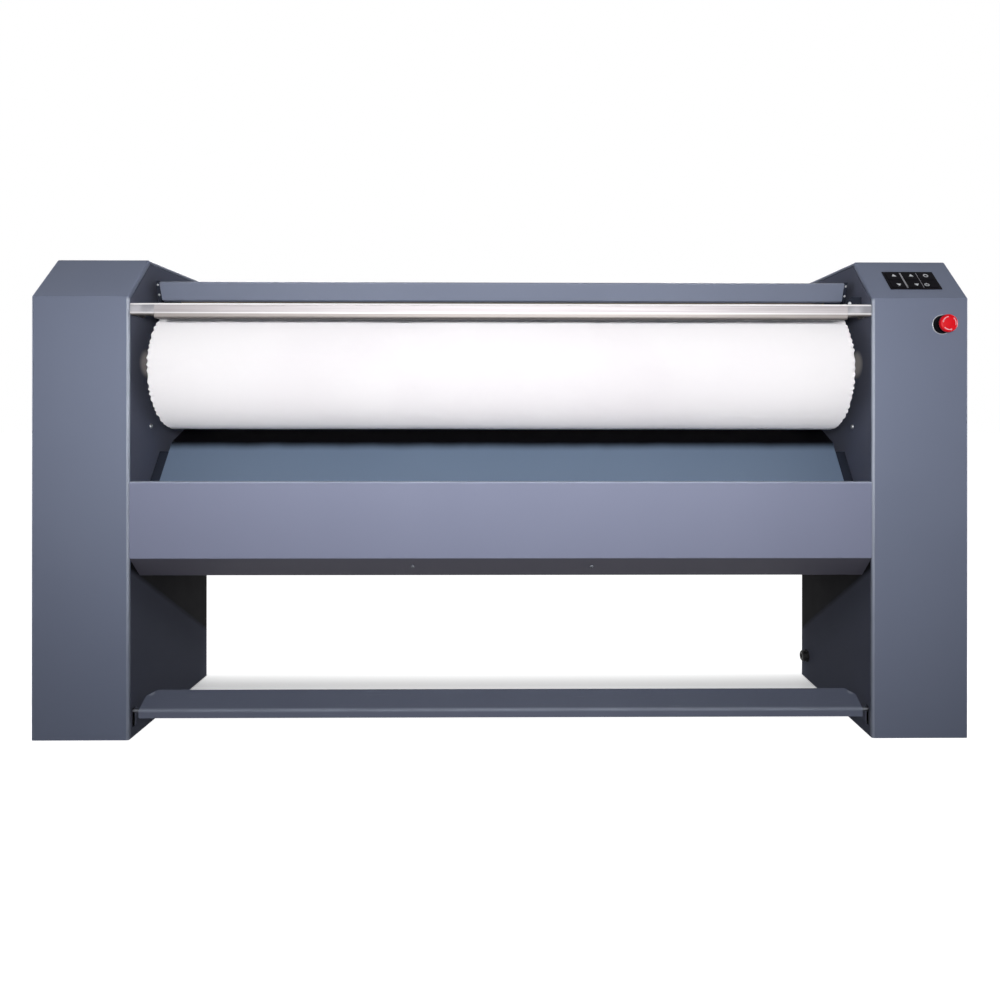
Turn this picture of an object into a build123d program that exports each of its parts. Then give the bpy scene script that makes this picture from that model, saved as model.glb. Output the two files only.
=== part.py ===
from build123d import *
from math import atan2, ceil, cos, degrees, hypot, pi, radians, sin, sqrt, tan
import os

# Flatwork ironer. Millimetres, +X to the operator's right, +Y to the rear, +Z up.
# The origin is the middle of the footprint, on the floor.

# ---------------------------------------------------------------- driving sizes
overall_width = 2068.0
overall_height = 1077.0
cabinet_depth = 436.0
cabinet_width = 214.0
console_drop = 98.0        # height of the sloping console face
console_run = 98.0         # depth of the sloping console face
foot_gap = 3.0             # casing above the floor

skin = 1.5                 # casing sheet
tray_plate = 3.0           # inner frame trays
return_depth = 8.0         # casing edges turned back along the sides
seam = 1.5                 # groove between a casing edge and the side wall
edge_radius = 5.0
fold_radius = 2.5
tray_flange = 20.0
seat_gap = 0.3             # between pieces that are bolted or laid together
running = 0.05             # radial clearance of a turning shaft

roll_drum_radius = 125.0
roll_drum_wall = 5.0
padding = 15.0
padding_edge = 9.0
roll_end_gap = 28.5        # roll's end to the cabinet
roll_depth = 155.0         # roll axis behind the cabinets' front plane
roll_height = 824.0
journal_radius = 20.0
end_disc = 10.0

chest_gap = 0.6            # shoe to padding with the chest closed
shoe_plate = 8.0
shoe_from = 66.0           # wrap, degrees from the front horizontal over the top
shoe_to = 207.0
lip_radius = 14.0
lip_turn = 58.0
lip_straight = 5.0
chest_open = 3.0           # degrees
chest_pivot_back = 175.0   # pivot behind the roll's axis
chest_pivot_drop = 164.0   # and below it
chest_pivot_radius = 12.5
heater_radius = 5.5
heater_loops = 4
insulation = 20.0
chest_end_gap = 22.5       # cover's end to the cabinet
chest_plate = 6.0

guard_height = 33.5
guard_depth = 20.0
guard_rise = 141.0         # top above the roll's axis
guard_face_depth = 2.0
guard_cap_length = 53.0
guard_cap_step = 7.0       # end caps are this much lower in height
guard_hinge_back = 22.0    # hinge behind the bar
guard_hinge_drop = 20.0    # and below its top

apron_top = 571.0
apron_face = 168.0         # height of its upright face
apron_return = 47.5        # height of its lower strip
apron_return_run = 49.0

linen_end_gap = 23.0
linen_foot_rise = 38.0     # plate's foot above the apron's fold
linen_roll_gap = 31.0      # plate's bend below the roll
linen_bend_back = 9.0      # and behind its axis
linen_rear_run = 166.0
linen_rear_rise = 69.0

pedal_end_gap = 16.0
pedal_fold_depth = 13.0
pedal_fold_height = 64.0
pedal_back_depth = 66.0
pedal_back_height = 91.5
pedal_corner = (22.0, 18.0)   # cut off at the back corners, along X and Y
pedal_lip_bottom = 47.0
pedal_sheet = 3.0
pedal_pin_depth = 24.0
pedal_pin_height = 60.0
pedal_pin_radius = 4.0
pedal_pivot_inset = 96.0   # from the cabinet's rear
pedal_pivot_height = 75.0
pedal_pivot_radius = 8.0
pedal_stroke = 5.2         # degrees
arm_plate = 6.0
arm_height = 30.0

rod_pedal_reach = 100.0    # lift rod ahead of the pedal pivot
rod_chest_reach = 173.0    # and ahead of the chest pivot
rod_shank = 4.0
spring_reach = 180.0       # return spring ahead of the pedal pivot
spring_top = 260.0
spring_wire = 1.5
spring_eye = 9.0
spring_peg = 4.0
coil_radius = 9.0

chain_pitch = 19.05
chain_roller = 6.0
chain_plate = 1.8
chain_inner_width = 11.7
roll_teeth = 24
motor_teeth = 12
chain_links = 50
motor_angle = 8.0          # chain line off the vertical, degrees

keypad_width = 116.0
keypad_height = 66.0
keypad_off_middle = 2.5    # its centre to the right of the cabinet's
key_columns = 3
key_rows = 2
e_stop_inset = 59.5        # from the cabinet's outer side
e_stop_drop = 59.0         # below the console's slope
e_stop_reach = 33.0
e_stop_radius = 20.0
e_stop_neck = 11.0
e_stop_collar_reach = 17.0
e_stop_head = 10.2         # thickness of the red head

gland_inset = 44.0         # from the cabinet's rear
gland_height = 67.0
gland_radius = 12.0

# ---------------------------------------------------------------- shared places
half_width = overall_width / 2
wall_x = half_width - cabinet_width
slope_z = overall_height - console_drop
slope_angle = atan2(console_drop, console_run)
front_y = (e_stop_reach - cabinet_depth) / 2
roll_radius = roll_drum_radius + padding
roll_half = wall_x - roll_end_gap
chest_pivot_depth = roll_depth + chest_pivot_back
chest_pivot_height = roll_height - chest_pivot_drop
cover_half_length = wall_x - chest_end_gap
guard_top = roll_height + guard_rise
guard_hinge_depth = guard_face_depth + guard_depth + guard_hinge_back
guard_hinge_height = guard_top - guard_hinge_drop
apron_fold = apron_top - apron_face
apron_bottom = apron_fold - apron_return
linen_plate_half = wall_x - linen_end_gap
linen_foot = (skin + 2.2, apron_fold + linen_foot_rise)
linen_bend = (roll_depth + linen_bend_back, roll_height - roll_radius - linen_roll_gap)
linen_rear = (linen_bend[0] + linen_rear_run, linen_bend[1] + linen_rear_rise)
pedal_half_length = wall_x - pedal_end_gap
pedal_pivot_depth = cabinet_depth - pedal_pivot_inset
keypad_centre = (wall_x + half_width) / 2 + keypad_off_middle
e_stop_x = half_width - e_stop_inset
e_stop_height = slope_z - e_stop_drop
gland_depth = cabinet_depth - gland_inset
tray_inset = return_depth + seam
arm_x = wall_x + 16.0
spring_depth = pedal_pivot_depth - spring_reach
spring_x = arm_x + arm_plate + 14


def at(depth, height):
    """A point in the side view: depth behind the cabinets' front plane, and height."""
    return (front_y + depth, height)


def side_plane(x):
    return Plane.YZ.offset(x)


def slab(face, x_from, x_to):
    """A side-view face given its width along X."""
    return extrude(side_plane(x_from) * face, x_to - x_from)


def bar(radius, depth, height, x_from, x_to):
    """A round bar along X."""
    return slab(Pos(*at(depth, height)) * Circle(radius), x_from, x_to)


def prism(radius, sides, depth, height, x_from, x_to):
    """A flat-sided bar along X."""
    return slab(Pos(*at(depth, height)) * RegularPolygon(radius, sides), x_from, x_to)


def bent_sheet(points, thickness, x_from, x_to, bend=fold_radius):
    """A sheet folded along X, from its mid-line corners."""
    corners = [at(*p) for p in points]
    line = FilletPolyline(*corners, radius=bend) if len(corners) > 2 else Line(*corners)
    return slab(trace(line, thickness), x_from, x_to)


def block(x, depth, height):
    """A box from (low, high) pairs."""
    size = [high - low for low, high in (x, depth, height)]
    middle = [(high + low) / 2 for low, high in (x, depth, height)]
    return Pos(middle[0], front_y + middle[1], middle[2]) * Box(*size)


def group(*solids):
    return Compound([s for piece in solids for s in piece.solids()])


def write(name, shape):
    export_step(shape, f"parts/{name}.step")


def both_sides(name, shape):
    """Writes a right-hand piece and its mirror image."""
    write(f"{name}_right", shape)
    write(f"{name}_left", mirror(shape, about=Plane.YZ))


def mirrored(shape):
    return group(shape, mirror(shape, about=Plane.YZ))


# ---------------------------------------------------------------- cabinets
def cabinet_outline(inset, bottom, back, folds=True):
    """Front, console slope and top, moved inwards by the inset."""
    front_shift = inset * tan((pi / 2 - slope_angle) / 2)
    top_shift = inset * tan(slope_angle / 2)
    corners = [
        at(inset, bottom),
        at(inset, slope_z - front_shift),
        at(console_run + top_shift, overall_height - inset),
        at(back, overall_height - inset),
        at(back, bottom),
    ]
    face = make_face(Polyline(*corners, close=True))
    if folds:
        bends = [corner_at(face, corners[1]), corner_at(face, corners[2])]
        face = fillet(bends, max(fold_radius - inset, 0.5))
    return face


def corner_at(face, point):
    """The face's corner that lies nearest to a point."""
    return min(face.vertices(), key=lambda v: hypot(v.X - point[0], v.Y - point[1]))


def casing():
    """One folded sheet: front, slope and top, with its edges turned back along both sides."""
    past = 5 * skin
    outer = slab(cabinet_outline(0, foot_gap, cabinet_depth), wall_x, half_width)
    rim = [e for e in outer.edges() if side_edge(e, foot_gap, cabinet_depth)]
    outer = fillet(rim, edge_radius)
    void = slab(
        cabinet_outline(skin, foot_gap - past, cabinet_depth + past), wall_x + skin, half_width - skin
    )
    rim = [e for e in void.edges() if side_edge(e, foot_gap - past, cabinet_depth + past)]
    void = fillet(rim, edge_radius - skin)
    sides = slab(
        cabinet_outline(return_depth, foot_gap - past, cabinet_depth + past, folds=False),
        wall_x - past,
        half_width + past,
    )
    return outer - void - sides


def control_casing():
    """The right-hand casing has the openings of the key pad and the emergency stop."""
    neck_hole = extrude(e_stop_plane(-2 * skin) * Circle(e_stop_neck + seat_gap), 3 * skin)
    return casing() - key_opening() - neck_hole


def side_edge(edge, bottom, back):
    """The casing's rounded edges: those along the side outline, but not its foot or its rear."""
    middle = edge.center()
    runs_along_x = abs(edge.tangent_at(0.5).X) > 0.5
    at_foot = abs(middle.Z - bottom) < 0.01
    at_rear = abs(middle.Y - front_y - back) < 0.01
    return not (runs_along_x or at_foot or at_rear)


def tray(x_wall, x_open, plate, back):
    """A side wall with its edges folded into the cabinet."""
    bottom = foot_gap
    inwards = 1 if x_open > x_wall else -1
    outside = cabinet_outline(tray_inset, bottom, back, folds=False)
    inside = cabinet_outline(tray_inset + plate, bottom + plate, back - plate, folds=False)
    low, high = sorted((x_wall, x_open))
    body = slab(outside, low, high)
    low, high = sorted((x_wall + inwards * plate, x_open + inwards))
    return body - slab(inside, low, high)


def spacers(x, floor_z):
    """Stand-offs that carry the casing's front on a tray's front flange."""
    length = tray_inset - skin - seat_gap
    heights = [floor_z + i * (slope_z - 2 * floor_z) / 3 for i in range(4)]
    middle = skin + seat_gap + length / 2
    return [Pos(x, front_y + middle, z) * Box(8, length, 8) for z in heights]


tray_back = cabinet_depth - skin - seat_gap


def inner_frame(side):
    """The load-bearing inner wall, with the holes of what passes through it."""
    wall = tray(wall_x, wall_x + tray_flange, tray_plate, tray_back)
    for post in spacers(wall_x + tray_flange - 6, 120):
        wall += post
    wall += prism(spring_peg, 8, spring_depth, spring_top, wall_x + tray_plate, spring_x + coil_radius)
    cut_from, cut_to = wall_x - 1, wall_x + tray_plate + 1
    wall -= bar(bearing_spigot + seat_gap, roll_depth, roll_height, cut_from, cut_to)
    wall -= bar(bush_radius + seat_gap, chest_pivot_depth, chest_pivot_height, cut_from, cut_to)
    travel = radians(pedal_stroke) * (pedal_pivot_depth - pedal_pin_depth)
    slot_gap = 3
    slot_high = pedal_pin_height + pedal_pin_radius + slot_gap
    slot_low = pedal_pin_height - travel - pedal_pin_radius - slot_gap
    slot_half = pedal_pin_radius + slot_gap
    wall -= block((cut_from, cut_to), (pedal_pin_depth - slot_half, pedal_pin_depth + slot_half + 3),
                  (slot_low, slot_high))
    if side == "right":
        wall -= bar(gland_radius + seat_gap, gland_depth, gland_height, cut_from, cut_to)
    return wall


def outer_panel():
    panel = tray(half_width, half_width - tray_flange * 0.6, skin, tray_back)
    for post in spacers(half_width - 8, 120):
        panel += post
    return panel


def rear_panel():
    """The cabinet's back, with pressed louvres in two banks."""
    low_x, high_x = wall_x + skin + seat_gap, half_width - skin - seat_gap
    top = overall_height - skin - seat_gap
    panel = block((low_x, high_x), (cabinet_depth - skin, cabinet_depth), (foot_gap, top))
    panel = fillet(panel.edges().filter_by(Axis.Y).group_by(Axis.Z)[-1], edge_radius)
    louvre_length, louvre_pitch, louvre_depth = 110, 16, 5
    middle = (low_x + high_x) / 2
    hood = make_face(Polyline(
        at(cabinet_depth - skin, 0), at(cabinet_depth - skin - louvre_depth, 3),
        at(cabinet_depth - skin - louvre_depth + 1.2, 4), at(cabinet_depth - skin, 1.8), close=True))
    for bank in (150, 780):
        for i in range(6):
            z = bank + i * louvre_pitch
            slot = block((middle - louvre_length / 2, middle + louvre_length / 2),
                         (cabinet_depth - 2 * skin, cabinet_depth + 1), (z + 1.8, z + 8))
            panel -= slot
            panel += Pos(0, 0, z) * slab(hood, middle - louvre_length / 2, middle + louvre_length / 2)
    return panel


foot_spots = [(x, d) for x in (wall_x + 46, half_width - 30) for d in (45, cabinet_depth - 41)]
foot_radius = 22.0
foot_stud = 6.0
base_low = foot_gap + tray_plate + seat_gap
base_high = base_low + tray_plate


def base_plate():
    plate = block((wall_x + tray_plate + seat_gap, half_width - skin - seat_gap),
                  (tray_inset + tray_plate + seat_gap, tray_back - tray_plate - seat_gap),
                  (base_low, base_high))
    for x, d in foot_spots:
        plate -= Pos(x, front_y + d, base_low) * Box(2 * foot_stud + 2, 2 * foot_stud + 2, 4 * tray_plate)
    return plate


def foot_pad(x, d):
    return extrude(Plane(origin=(x, front_y + d, 0)) * RegularPolygon(foot_radius, 16), foot_gap)


def foot_screw(x, d):
    """Stud from the pad through the base plate, with its nut on top."""
    stud_top, nut_height = base_high + 24, 8
    screw = extrude(Plane(origin=(x, front_y + d, foot_gap)) * RegularPolygon(foot_stud, 8), stud_top - foot_gap)
    nut = Plane(origin=(x, front_y + d, base_high + seat_gap)) * RegularPolygon(11, 6)
    return screw + extrude(nut, nut_height)


# ---------------------------------------------------------------- roll
bearing_spigot = 34.0
bearing_half = 48.0
bearing_depth = 26.0
bush_radius = chest_pivot_radius + 5


def roll_drum():
    tube = Circle(roll_drum_radius) - Circle(roll_drum_radius - roll_drum_wall)
    return slab(Pos(*at(roll_depth, roll_height)) * tube, -roll_half, roll_half)


def roll_end_disc():
    """A welded disc with its hub, set into the drum's end."""
    outside = roll_drum_radius - roll_drum_wall - seat_gap
    hub = journal_radius + 14
    disc = bar(outside, roll_depth, roll_height, roll_half - 2 * end_disc, roll_half - end_disc)
    disc += prism(hub, 16, roll_depth, roll_height, roll_half - 5 * end_disc, roll_half - 2 * end_disc)
    return disc - bar(journal_radius + running, roll_depth, roll_height, roll_half - 60, roll_half + 10)


journal_end = wall_x + 88


def roll_journal():
    return bar(journal_radius, roll_depth, roll_height, roll_half - 5 * end_disc, journal_end)


def roll_padding():
    """Springy felt under a cotton sleeve, eased at both ends."""
    body = bar(roll_radius, roll_depth, roll_height, -roll_half, roll_half)
    rims = [e for e in body.edges() if e.geom_type == GeomType.CIRCLE]
    body = chamfer(rims, padding_edge)
    return body - bar(roll_drum_radius + seat_gap / 3, roll_depth, roll_height, -roll_half - 1, roll_half + 1)


def roll_bearing():
    """Square flange bearing on the inside of the frame, its spigot in the wall's hole."""
    seat = wall_x + tray_plate + seat_gap
    flange = Rectangle(2 * bearing_half, 2 * bearing_half)
    flange = chamfer(flange.vertices(), 14)
    housing = slab(Pos(*at(roll_depth, roll_height)) * flange, seat, seat + 10)
    housing += prism(bearing_spigot, 24, roll_depth, roll_height, wall_x + seat_gap, seat)
    housing += prism(bearing_spigot + 4, 16, roll_depth, roll_height, seat, seat + bearing_depth)
    return housing - bar(journal_radius + running, roll_depth, roll_height, wall_x - 5, seat + 60)


# ---------------------------------------------------------------- drive, in the left cabinet
first_pin = chain_pitch / 2     # from the start of the roll sprocket's wrap


def pitch_radius(teeth):
    return chain_pitch / (2 * sin(pi / teeth))


def chain_path_point(distance, centres):
    """A point on the chain's pitch line, which wraps the roll sprocket and the motor sprocket."""
    big, small = pitch_radius(roll_teeth), pitch_radius(motor_teeth)
    lean = atan2(big - small, sqrt(centres ** 2 - (big - small) ** 2))
    straight = sqrt(centres ** 2 - (big - small) ** 2)
    big_arc, small_arc = big * (pi + 2 * lean), small * (pi - 2 * lean)
    total = big_arc + small_arc + 2 * straight
    distance %= total
    if distance < big_arc:
        angle = -lean + distance / big
        return big * cos(angle), big * sin(angle)
    distance -= big_arc
    if distance < straight:
        start = (-big * cos(lean), -big * sin(lean))
        return start[0] + distance * sin(lean), start[1] - distance * cos(lean)
    distance -= straight
    if distance < small_arc:
        angle = pi + lean + distance / small
        return small * cos(angle), -centres + small * sin(angle)
    distance -= small_arc
    start = (small * cos(lean), -centres - small * sin(lean))
    return start[0] + distance * sin(lean), start[1] + distance * cos(lean)


def next_pin(distance, centres):
    """The place along the pitch line that lies one straight pitch further on."""
    x0, y0 = chain_path_point(distance, centres)
    low, high = distance + chain_pitch * 0.9, distance + chain_pitch * 1.1
    for _ in range(40):
        middle = (low + high) / 2
        x1, y1 = chain_path_point(middle, centres)
        if hypot(x1 - x0, y1 - y0) < chain_pitch:
            low = middle
        else:
            high = middle
    return (low + high) / 2


def chain_stations(centres):
    places = [first_pin]
    for _ in range(chain_links):
        places.append(next_pin(places[-1], centres))
    return places


def chain_total(centres):
    big, small = pitch_radius(roll_teeth), pitch_radius(motor_teeth)
    lean = atan2(big - small, sqrt(centres ** 2 - (big - small) ** 2))
    straight = sqrt(centres ** 2 - (big - small) ** 2)
    return big * (pi + 2 * lean) + small * (pi - 2 * lean) + 2 * straight


def solve_centres():
    """The distance between shafts at which the links close on themselves."""
    low = pitch_radius(roll_teeth) + pitch_radius(motor_teeth) + 2 * chain_pitch
    high = chain_links * chain_pitch / 2
    for _ in range(50):
        middle = (low + high) / 2
        spare = chain_total(middle) - (chain_stations(middle)[-1] - first_pin)
        if spare < 0:
            low = middle
        else:
            high = middle
    return (low + high) / 2


shaft_distance = solve_centres()
chain_x = -(wall_x + 62)
chain_turn = Rot(0, 0, motor_angle)
motor_depth = roll_depth + shaft_distance * sin(radians(motor_angle))
motor_height = roll_height - shaft_distance * cos(radians(motor_angle))
motor_shaft_radius = 12.5


def chain_places():
    """Pin centres in the side view, round the roll's axis."""
    pins = [chain_path_point(s, shaft_distance) for s in chain_stations(shaft_distance)[:-1]]
    turn = radians(motor_angle)
    turned = [(x * cos(turn) - y * sin(turn), x * sin(turn) + y * cos(turn)) for x, y in pins]
    return [(front_y + roll_depth + x, roll_height + y) for x, y in turned]


def sprocket(teeth, centre, shaft, phase, hub_length):
    """Tooth gaps are seats for the chain's rollers, that open outwards to let them leave."""
    seat = (chain_roller + 0.15) / cos(pi / 8)
    slant = seat * sqrt(0.5)
    radius = pitch_radius(teeth)
    tip = chain_roller * 0.55
    gap = make_face(Polyline(
        (tip + 1, seat * 1.2), (0, seat), (-slant, slant), (-seat, 0), (-slant, -slant), (0, -seat),
        (tip + 1, -seat * 1.2), close=True))
    blank = Circle(radius + tip)
    for i in range(teeth):
        blank -= Rot(0, 0, degrees(phase) + 360 * i / teeth) * Pos(radius, 0) * gap
    width = chain_inner_width - 1.0
    body = slab(Pos(*centre) * blank, chain_x - width / 2, chain_x + width / 2)
    hub = Pos(*centre) * RegularPolygon(shaft + 11, 16)
    return body + slab(hub, chain_x, chain_x + width / 2 + hub_length)


def pin_angle(centre, near_radius):
    """The direction of a pin that lies on a sprocket's wrap."""
    best = min(chain_places(), key=lambda p: abs(hypot(p[0] - centre[0], p[1] - centre[1]) - near_radius))
    return atan2(best[1] - centre[1], best[0] - centre[0])


def link_plate(a, b, height, x_from, x_to):
    """A link plate with pointed ends, between two pins."""
    length = hypot(b[0] - a[0], b[1] - a[1]) + height
    angle = degrees(atan2(b[1] - a[1], b[0] - a[0]))
    cut = height * 0.35
    half_l, half_h = length / 2, height / 2
    outline = make_face(Polyline(
        (-half_l, 0), (-half_l + cut, -half_h), (half_l - cut, -half_h), (half_l, 0), (half_l - cut, half_h),
        (-half_l + cut, half_h), close=True))
    middle = Pos((a[0] + b[0]) / 2, (a[1] + b[1]) / 2) * Rot(0, 0, angle)
    return slab(middle * outline, x_from, x_to)


def drive_chain():
    """Inner links are two plates on two rollers; outer links are a plate on each side."""
    pins = chain_places()
    half = chain_inner_width / 2
    outer_from = half + chain_plate + 0.15
    pieces = []
    for i, a in enumerate(pins):
        b = pins[(i + 1) % len(pins)]
        if i % 2 == 0:
            link = link_plate(a, b, 14, chain_x + half, chain_x + half + chain_plate)
            link += link_plate(a, b, 14, chain_x - half - chain_plate, chain_x - half)
            for p in (a, b):
                link += slab(Pos(*p) * RegularPolygon(chain_roller, 6), chain_x - half, chain_x + half)
            pieces.append(link)
        else:
            pieces.append(link_plate(a, b, 12, chain_x + outer_from, chain_x + outer_from + chain_plate))
            pieces.append(link_plate(a, b, 12, chain_x - outer_from - chain_plate, chain_x - outer_from))
    return group(*pieces)


gearbox_half = 46.0
gearbox_width = 40.0
gearbox_x = chain_x - 24.0
motor_can_radius = 36.0
motor_can_length = cabinet_depth - motor_depth - gearbox_half - 43


def gear_motor():
    """Worm gearbox outboard of the chain, with a finned motor behind it."""
    sides = (gearbox_x - gearbox_width, gearbox_x)
    gearbox = block(sides, (motor_depth - gearbox_half, motor_depth + gearbox_half),
                    (motor_height - gearbox_half, motor_height + gearbox_half))
    gearbox = chamfer(gearbox.edges().filter_by(Axis.X), 10)
    gearbox -= bar(motor_shaft_radius + running, motor_depth, motor_height, gearbox_x - 100, gearbox_x + 1)
    motor_x = gearbox_x - gearbox_width / 2
    start = Plane(origin=(motor_x, front_y + motor_depth + gearbox_half, motor_height), z_dir=(0, 1, 0))
    motor = extrude(start * Circle(motor_can_radius), motor_can_length)
    fins = 12
    for i in range(fins):
        fin = Rot(0, 0, 360 * i / fins) * Pos(motor_can_radius + 2, 0) * Rectangle(8, 2.4)
        motor += extrude(start.offset(12) * fin, motor_can_length - 36)
    fan_cover = extrude(start.offset(motor_can_length - 16) * Circle(motor_can_radius + 4), 30)
    return gearbox + motor + fan_cover


def motor_bracket():
    """Shelf under the gearbox and motor, on an upright bolted to the inner frame."""
    top = motor_height - gearbox_half - seat_gap
    x_wall = -(wall_x + tray_plate + seat_gap)
    x_far = gearbox_x - gearbox_width
    near, far = motor_depth + 12, motor_depth + 112
    plate, drop = 5.0, 70.0
    shelf = block((x_far, x_wall), (near, far), (top - plate, top))
    shelf += block((x_wall - plate, x_wall), (near, far), (top - drop, top))
    web = make_face(Polyline(
        (x_wall - plate, top - plate), (x_far + 10, top - plate), (x_wall - plate, top - drop), close=True))
    for d in (near, far - plate):
        shelf += extrude(Plane.XZ.offset(-(front_y + d)) * web, -plate)
    return shelf


# ---------------------------------------------------------------- heated chest
def chest_turn(shape, angle=-chest_open):
    """Swings a piece about the chest's pivot; negative opens."""
    axis = Axis((0, front_y + chest_pivot_depth, chest_pivot_height), (1, 0, 0))
    return shape.rotate(axis, angle)


closed_radius = roll_radius + chest_gap
shoe_back = closed_radius + shoe_plate
heater_half_angle = 9.0
heater_plane = shoe_back + heater_radius + seat_gap
heater_bend = heater_plane * tan(radians(heater_half_angle))
clamp_inner = hypot(heater_plane, heater_bend) + heater_radius + seat_gap
clamp_plate = 3.0
blanket_inner = clamp_inner + clamp_plate + seat_gap
blanket_outer = blanket_inner + insulation


def wrap_arc(radius, wrap_from, wrap_to):
    """An arc round the roll; wrap angles run from the front horizontal over the top."""
    return CenterArc(at(roll_depth, roll_height), radius, 180 - wrap_to, wrap_to - wrap_from)


def wrap_band(inner, outer, wrap_from, wrap_to, x_from, x_to):
    return slab(trace(wrap_arc((inner + outer) / 2, wrap_from, wrap_to), outer - inner), x_from, x_to)


def wrap_point(radius, wrap):
    angle = radians(180 - wrap)
    centre = at(roll_depth, roll_height)
    return centre[0] + radius * cos(angle), centre[1] + radius * sin(angle)


clamp_angles = [shoe_from + 36 + i * 36 for i in range(heater_loops - 1)]
clamp_places = [-640, -320, 0, 320, 640]


def chest_shoe():
    """Thick curved plate with a flared infeed lip; studs on its back hold the heater clamps."""
    middle = closed_radius + shoe_plate / 2
    arc = wrap_arc(middle, shoe_from, shoe_to)
    flare = JernArc(arc @ 1, arc % 1, lip_radius, -lip_turn)
    end = flare % 1
    tip = Line(flare @ 1, flare @ 1 + end * lip_straight)
    length = cover_half_length - 2
    shoe = slab(trace(Wire([*arc.edges(), *flare.edges(), *tip.edges()]), shoe_plate), -length, length)
    for wrap in clamp_angles:
        for x in clamp_places:
            y, z = wrap_point(shoe_back - 1, wrap)
            out = (0, cos(radians(180 - wrap)), sin(radians(180 - wrap)))
            stud = Plane(origin=(x, y, z), x_dir=(1, 0, 0), z_dir=out) * Rectangle(8, 8)
            shoe += extrude(stud, clamp_inner - shoe_back + 1 - seat_gap)
    return chest_turn(shoe)


def heater_loop(wrap):
    """One tubular element bent into a hairpin, lying along the shoe."""
    reach = cover_half_length - 40
    angle = radians(180 - wrap)
    plane = Plane(origin=(0, *wrap_point(heater_plane, wrap)), x_dir=(1, 0, 0),
                  z_dir=(0, cos(angle), sin(angle)))
    bend = heater_bend
    route = Polyline((-reach, -bend, 0), (reach - bend, -bend, 0), (reach, -bend * 0.4, 0),
                     (reach, bend * 0.4, 0), (reach - bend, bend, 0), (-reach, bend, 0))
    section = Plane(origin=route @ 0, z_dir=(1, 0, 0)) * RegularPolygon(heater_radius, 8)
    return plane * sweep(section, path=route, transition=Transition.RIGHT)


def heaters():
    first = shoe_from + 18
    return chest_turn(group(*[heater_loop(first + 36 * i) for i in range(heater_loops)]))


def heater_clamps():
    bands = [wrap_band(clamp_inner, clamp_inner + clamp_plate, shoe_from + 4, shoe_to - 4, x - 12, x + 12)
             for x in clamp_places]
    return chest_turn(group(*bands))


def chest_blanket():
    length = cover_half_length - 8
    return chest_turn(wrap_band(blanket_inner, blanket_outer, shoe_from + 12, shoe_to - 8, -length, length))


cover_rise = blanket_outer + 19.6
cover_back = blanket_outer + 26.6
front_hem = closed_radius + lip_radius + 8.9
cover_shape = [(-31, front_hem - 2), (-42.5, front_hem), (-59.25, cover_rise - 2), (cover_back - 79, cover_rise + 2),
               (cover_back, cover_rise - 79), (cover_back, -36), (cover_back - 24, -83), (cover_back - 37, -80)]
cover_line = [(roll_depth + back, roll_height + up) for back, up in cover_shape]


def chest_cover():
    """Folded sheet over the insulation: slanted front face, crowned top and rear."""
    return bent_sheet(cover_line, skin, -cover_half_length, cover_half_length, bend=3)


plate_x = cover_half_length + seat_gap


def chest_end_plate():
    """Closes the chest's end and carries it down to the pivot."""
    margin = 4
    shape = [(-47, front_hem - 3.5), (-62, cover_rise), (cover_back - 77, cover_rise + margin + 1),
             (cover_back + margin, cover_rise - 77), (cover_back + margin, -38), (197, -169), (163, -184),
             (151, -169), (145, -89)]
    plate = make_face(Polyline(*[at(roll_depth + back, roll_height + up) for back, up in shape], close=True))
    closed_centre = Vector(*at(roll_depth, roll_height))
    pivot = Vector(*at(chest_pivot_depth, chest_pivot_height))
    open_centre = pivot + (closed_centre - pivot).rotate(Axis.Z, -chest_open)
    plate -= Pos(open_centre.X, open_centre.Y) * Circle(shoe_back + 0.5)
    plate += Pos(pivot.X, pivot.Y) * RegularPolygon(26, 16)
    plate = slab(plate, plate_x, plate_x + chest_plate)
    plate += bar(chest_pivot_radius, chest_pivot_depth, chest_pivot_height, plate_x, lever_x + arm_plate)
    return plate


def chest_bush():
    """Flanged bush in the frame, running on the chest's journal."""
    seat = wall_x + tray_plate + seat_gap
    bush = bar(bush_radius, chest_pivot_depth, chest_pivot_height, wall_x + seat_gap, seat)
    bush += prism(bush_radius + 8, 16, chest_pivot_depth, chest_pivot_height, seat, seat + 5)
    return bush - bar(chest_pivot_radius + running, chest_pivot_depth, chest_pivot_height,
                      wall_x - 5, seat + 20)


lever_x = wall_x + 16
rod_x = lever_x + arm_plate + 2
rod_eye = 8.0
rod_pin = 6.0
open_pivot_gap = 0.8       # the rod swings on its lower pin; its upper eye follows with this clearance


def chest_lever():
    """Lever on the chest's journal; its pin is pulled down by the lift rod."""
    far = chest_pivot_depth - rod_chest_reach
    arm = make_face(Polyline(
        at(chest_pivot_depth, chest_pivot_height - 22), at(chest_pivot_depth, chest_pivot_height + 22),
        at(far, chest_pivot_height + 13), at(far, chest_pivot_height - 13), close=True))
    arm += Pos(*at(chest_pivot_depth, chest_pivot_height)) * RegularPolygon(22, 16)
    arm += Pos(*at(far, chest_pivot_height)) * RegularPolygon(13, 16)
    arm -= Pos(*at(chest_pivot_depth, chest_pivot_height)) * Circle(chest_pivot_radius + running)
    lever = slab(arm, lever_x, lever_x + arm_plate)
    return lever + prism(rod_pin, 12, far, chest_pivot_height, lever_x, rod_x + rod_eye + 3)


def temperature_probe():
    """Probe clipped along the shoe between two heaters."""
    wrap = shoe_from + 54
    centre = wrap_point(shoe_back + 3.4, wrap)
    probe = slab(Pos(*centre) * RegularPolygon(3, 8), cover_half_length / 2, cover_half_length / 2 + 140)
    return chest_turn(probe)


# ---------------------------------------------------------------- guard bar
guard_half = wall_x - 1.0


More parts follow.
